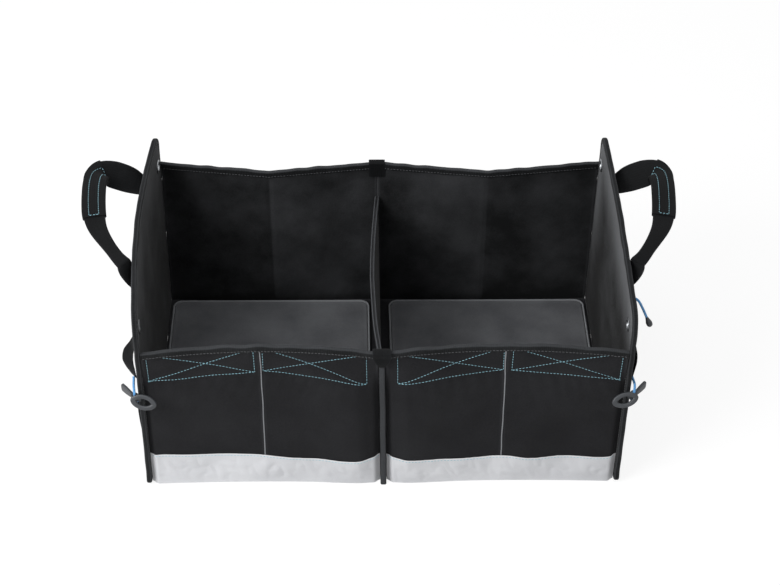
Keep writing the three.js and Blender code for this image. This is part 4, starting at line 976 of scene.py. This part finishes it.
# %% Handles and grip covers
COVER_OUT, COVER_IN = 1.6, 0.35
in_grip = (path[:, 2] > SEWN_TOP) & (path[:, 1] > lerp(Y_FRONT, Y_REAR, 0.39)) \
    & (path[:, 1] < lerp(Y_FRONT, Y_REAR, 0.925))
_, grip_side, grip_up = axes_of(path, across)
grip_path, grip_side, grip_up, grip_wide, grip_thick = (
    row[in_grip] for row in (path, grip_side, grip_up, width, thick))
skin = lambda by: rings_about(grip_path, grip_side, grip_up, superellipse(28, 0.3, 0.6), grip_wide + 2 * by,
                              grip_thick + 2 * by)
cover = carried(np.concatenate([skin(COVER_OUT), skin(COVER_IN)[::-1]]), looped=True)
for side, turn in SIDES:
    piece(f"handle_webbing_{side}", mirrored([bar(path, across, width, thick)], turn), webbing_cloth,
          f"handle_strap_{side}")
    piece(f"handle_cover_{side}", mirrored([cover], turn), webbing_cloth, f"handle_grip_{side}")

# %% [markdown]
# ## Corner straps and hooks
# At each front corner a strap is sewn on the end wall above and below, with a short elastic between them.
# The hook turns on the elastic. It is moulded in one: an oval ring, a tongue that catches the box's edge when
# it is folded, and a hub with a bore. Each is an outline carried along its own path.

# %% Corner straps and elastic loops
UPPER, LOWER = [0, 0.02, 0.35, 0.85, 1, 0.8, 0.5], [0.3, 0.28, 0.2, 0.08, 0]
STRAP_Y, UPPER_END, LOWER_TOP = 20, 185, 140
PIVOT = np.array([HALF + 4, -4.5, 168])


def side_x(z, out):
    """The strap's distance from the middle, out millimetres off the end wall."""
    return HALF + bow(STRAP_Y, z) - OUTER + GAP + 0.7 + out


def side_strip(top, end, slack, bulge, twist=0):
    """A strap down the corner whose distance off the wall is slack times bulge at even steps. Where it stands
    off, it also turns its face forwards, by up to twist degrees."""
    z = np.linspace(top, end, len(slack))
    knots = join(side_x(z, np.array(slack) * bulge), STRAP_Y, z)
    turned = np.radians(twist) * np.interp(np.linspace(0, 1, 50), np.linspace(0, 1, len(slack)), slack)
    across = join(np.sin(turned), np.cos(turned), 0)
    return bar(smooth_path(knots, 50), across, 16, 1.4)


for (side, turn), bulge, twist in zip(SIDES, (6, 11), (0, 64)):
    for name, strap in (("side", side_strip(262, UPPER_END, UPPER, bulge, twist)),
                        ("lower", side_strip(LOWER_TOP, 72, LOWER, bulge))):
        piece(f"{name}_webbing_{side}", mirrored([strap], turn), webbing_cloth, f"{name}_strap_{side}")
    up_x, low_x = side_x(UPPER_END, 0.5 * bulge), side_x(LOWER_TOP, 0.3 * bulge)
    through = PIVOT + [[1, 8, 11.5], [0, 0, 9], [0, 0, 0], [0, 0, -9], [0.5, 6, -16]]
    loop = smooth_path([[up_x, 18, 184.4], [up_x, 16, 182.5], *through, [low_x, 18, 145],
                        [low_x, 18, 140.6]], 80)
    piece(f"corner_elastic_{side}", mirrored([tube(loop, ELASTIC_RADIUS)], turn), elastic, f"hook_loop_{side}")

# %% Hooks
def turned_by(degrees, i, j):
    """The matrix that turns rows of points from coordinate i towards coordinate j."""
    a = np.radians(degrees)
    matrix = np.eye(3)
    matrix[i, i], matrix[i, j], matrix[j, i], matrix[j, j] = np.cos(a), np.sin(a), -np.sin(a), np.cos(a)
    return matrix


def hook_shells():
    """Ring: an oval of half axes 14 and 7.2, its section 5.4 to 7 by 4.6, laid back by 60 degrees. Tongue: a
    blade 28 long at 50 degrees to the wall. Hub: a ring of radius 5 with a bore of 2.2. Bridge: a bar."""
    t = circle(64)
    oval = join(14 * np.cos(t), 7.2 * np.sign(np.sin(t)) * np.abs(np.sin(t)) ** 1.3, 0)
    out = unit(join(7.4 * np.cos(t), 12.4 * np.sin(t), 0))
    # The ring's bar is thicker at its two ends than along its sides.
    half = 2.7 + 0.8 * np.cos(t / 2) ** 6 + 0.8 * np.sin(t / 2) ** 8
    up = np.broadcast_to([0, 0, 1.0], oval.shape)
    ring = rings_about(oval, out, up, superellipse(20, 0.6, 0.6, 0), 2 * half, 4.6)
    ring = (ring + [-12, 0, 0]) @ turned_by(15, 0, 1) @ turned_by(60, 1, 2) + [0, -5, 0]
    moulded = {"section": superellipse(20, 0.45, 0.45), "worn": 0}
    reach = 28 * np.concatenate([np.linspace(0, 0.9, 20), [0.93, 0.96, 0.98, 0.995, 1]])
    blunt = np.sqrt(np.clip(1 - (np.clip(reach - 25, 0, 3) / 3.02) ** 2, 0.02, 1))
    heading = np.array([np.cos(np.radians(50)), np.sin(np.radians(50)), 0])
    tongue = bar(reach[:, None] * heading, [0, 0, 1.0], lerp(8.5, 12.5, ease(4, 20, reach)) * blunt,
                 4.0 * np.sqrt(blunt), **moulded)
    corner = np.radians([0, 30, 60, 90])
    edge = join(4.3 + 0.7 * np.sin(corner), 3.8 + 0.7 * np.cos(corner))
    radius, height = np.concatenate([[[2.2, 4.5]], edge, (edge * [1, -1])[::-1], [[2.2, -4.5]]]).T
    hub = join(radius * np.cos(spin), radius * np.sin(spin), height)
    bridge = bar(join(np.linspace(-8, -2.6, 8), -2.5, 0), [0, 1.0, 0], 5, 6, **moulded)
    shells = [carried(ring, looped=True), tongue, carried(hub, looped=True), bridge]
    return [(points + PIVOT, *rest) for points, *rest in shells]


for side, turn in SIDES:
    piece(f"hook_moulded_{side}", mirrored(hook_shells(), turn), plastic, f"hook_{side}", body=f"hook_{side}")

# %% [markdown]
# ## Stitching
# The thread is what the eye finds first on the black cloth. Each stitch is one small spindle of 24 points,
# 3 mm long, that stands half out of the cloth. All the stitches of a run are worked out at once: a centre at
# every 4.4 mm along a line on the surface, a direction along the line and one out of the cloth.

# %% Stitches along runs
def stitch_run(path, out, long=3.0, pitch=4.4, thick=0.8):
    """Spindles along one path: rings at -1, -0.5, 0.5 and 1 half lengths, of 0.4, 1, 1 and 0.4 half
    thicknesses, each ring of six points of cos and sin."""
    length = np.concatenate([[0], np.cumsum(np.linalg.norm(np.diff(path, axis=0), axis=1))])
    at = np.arange(pitch / 2, length[-1], pitch)
    sampled = lambda table, at: np.stack([np.interp(at, length, table[:, k]) for k in range(3)], -1)
    along = unit(sampled(path, at + 0.5) - sampled(path, at - 0.5))
    up = sampled(np.broadcast_to(out, path.shape), at)
    up = unit(up - (up * along).sum(1, keepdims=True) * along)
    side = np.cross(along, up)
    turn = np.tile(np.radians(np.arange(0, 360, 60)), 4)
    s = np.repeat([-1, -0.5, 0.5, 1], 6) * long / 2
    r = np.repeat([0.4, 1, 1, 0.4], 6) * thick / 2
    lift = np.repeat([-0.35, 0.2, 0.2, -0.35], 6) * thick / 2
    points = sampled(path, at)[:, None] + s[:, None] * along[:, None] \
        + (r * np.cos(turn))[:, None] * side[:, None] + (r * np.sin(turn) + lift)[:, None] * up[:, None]
    k = np.arange(18)
    one = join(k, k // 6 * 6 + (k + 1) % 6, k // 6 * 6 + (k + 1) % 6 + 6, k + 6)
    first = (24 * np.arange(len(at)))[:, None, None]
    quads = (one + first).reshape(-1, 4)
    ends = np.concatenate([np.arange(6)[::-1] + first[:, 0], np.arange(18, 24) + first[:, 0]]).tolist()
    return points.reshape(-1, 3), quads, np.zeros((len(quads), 4, 2)), np.zeros(24 * len(at)), ends


# A run's path lies this many millimetres off the cloth, so the lower third of a stitch is in it.
OFF_CLOTH = 0.05


def on_front(x0, z0, x1, z1, turn, count=60):
    """A straight run between two points of the front wall."""
    x, z = np.linspace(x0, x1, count) * turn, np.linspace(z0, z1, count)
    return join(x, front_face(x, z) - OFF_CLOTH, z)


for side, turn in SIDES:
    runs = [stitch_run(on_front(*line, turn), [0, -1.0, 0.1]) for line in seams]
    piece(f"front_stitching_{side}", runs, thread)

# %% Stitches of the hems, bindings, band and handles
for side, turn in SIDES:
    x = np.linspace(WALL_START + 1, WALL_END - 1, 120) * turn
    low_in_hem = HEM - 1.6
    front_z, back_z = FRONT_TOP - low_in_hem, BACK_TOP - low_in_hem
    band_z = band_top(x) - 2.2
    front_row = join(x, front_face(x, front_z) - OUTER - OFF_CLOTH, front_z)
    back_row = join(x, back_face(x, back_z) - WALL - OUTER - OFF_CLOTH, back_z)
    band_row = join(x, band_face(x, band_z) - GAP - BAND - OFF_CLOTH, band_z)
    y, z = rounded(end_corners, TAPE_DEPTH - 1.8).T
    inner_row, outer_row = (end_point(y, z, depth, END_SEED + turn) * [turn, 1, 1]
                            for depth in (STACK + 0.02, -0.02))
    dark = [stitch_run(row, out) for row, out in (
        (front_row, [0, -1.0, 0]), (back_row, [0, -1.0, 0]), (inner_row, [-turn * 1.0, 0, 0]),
        (outer_row, [turn * 1.0, 0, 0]))]
    piece(f"hem_stitching_{side}", dark, dark_thread)
    piece(f"band_stitching_{side}", [stitch_run(band_row, [0, -1.0, 0])], thread)
    # On the grip, two rows run along the cover's upper face, and a short one joins them at each end.
    over = -grip_up[1:-1]
    top = (grip_path + (grip_thick / 2 + COVER_OUT + 0.02)[:, None] * -grip_up)[1:-1]
    rows = [top + off * grip_side[1:-1] for off in (-6.5, 6.5)]
    runs = [stitch_run(row, over) for row in rows]
    runs += [stitch_run(np.linspace(rows[0][k], rows[1][k], 8), over[k]) for k in (0, -1)]
    piece(f"handle_stitching_{side}", mirrored(runs, turn), thread)

# %% [markdown]
# ## Floor, backdrop and light
# The floor is pale and plain, and a camera ray sees it almost as white paper, with the box's own shadow left
# on it. The world is white where the camera, a reflection or a see-through ray meets it, and plain grey as a
# lamp. Two large lamps stand high in front, so that a colour renders about as it is written.

# %% Stage and studio
bpy.ops.mesh.primitive_plane_add(size=8, location=(0, 0, -0.0006))
ground = bpy.context.object
ground.name = "studio_floor"
paper, tree, main = shader("matt_white_paper", {"Base Color": linear(0xF2F2F2), "Roughness": 0.9})
ray = node(tree, "LightPath")
glow = node(tree, "Emission", {"Strength": 1.08})
seen = node(tree, "Math", {0: ray.outputs["Is Camera Ray"], 1: 0.8}, operation="MULTIPLY")
mix = node(tree, "MixShader", {0: seen, 1: main, 2: glow})
wire(tree, tree.nodes["Material Output"], {"Surface": mix})
ground.data.materials.append(paper)

world = bpy.data.worlds.new("studio")
bpy.context.scene.world = world
world.use_nodes = True
tree = world.node_tree
ray = node(tree, "LightPath")
most = node(tree, "Math", {0: ray.outputs["Is Camera Ray"], 1: ray.outputs["Is Glossy Ray"]},
            operation="MAXIMUM")
most = node(tree, "Math", {0: most, 1: ray.outputs["Is Transmission Ray"]}, operation="MAXIMUM")
sky = node(tree, "Mix", {0: most, 6: (0.43, 0.43, 0.435, 1), 7: (1, 1, 1, 1)}, data_type="RGBA")
wire(tree, tree.nodes["Background"], {"Color": sky.outputs[2]})


def lamp(name, spot, aim, size, watts):
    """A square area lamp at spot, turned so that its -Z axis points at aim."""
    data = bpy.data.lights.new(name, "AREA")
    data.size, data.energy = size, watts
    made = bpy.data.objects.new(name, data)
    back = unit(np.array(spot, float) - aim)
    right = unit(np.cross([0, 0, 1], back))
    turned = np.eye(4)
    turned[:3] = np.stack([right, np.cross(back, right), back, spot], 1)
    made.matrix_world = turned.T.tolist()
    bpy.context.collection.objects.link(made)


lamp("key", (-1.25, -1.1, 1.5), (0, 0, 0.1), 1.0, 36)
lamp("top", (-0.1, -0.4, 2.6), (0, 0, 0.1), 1.6, 15)
bpy.context.scene.view_settings.view_transform = "Standard"
print("lamps:", [light.name for light in bpy.data.lights])
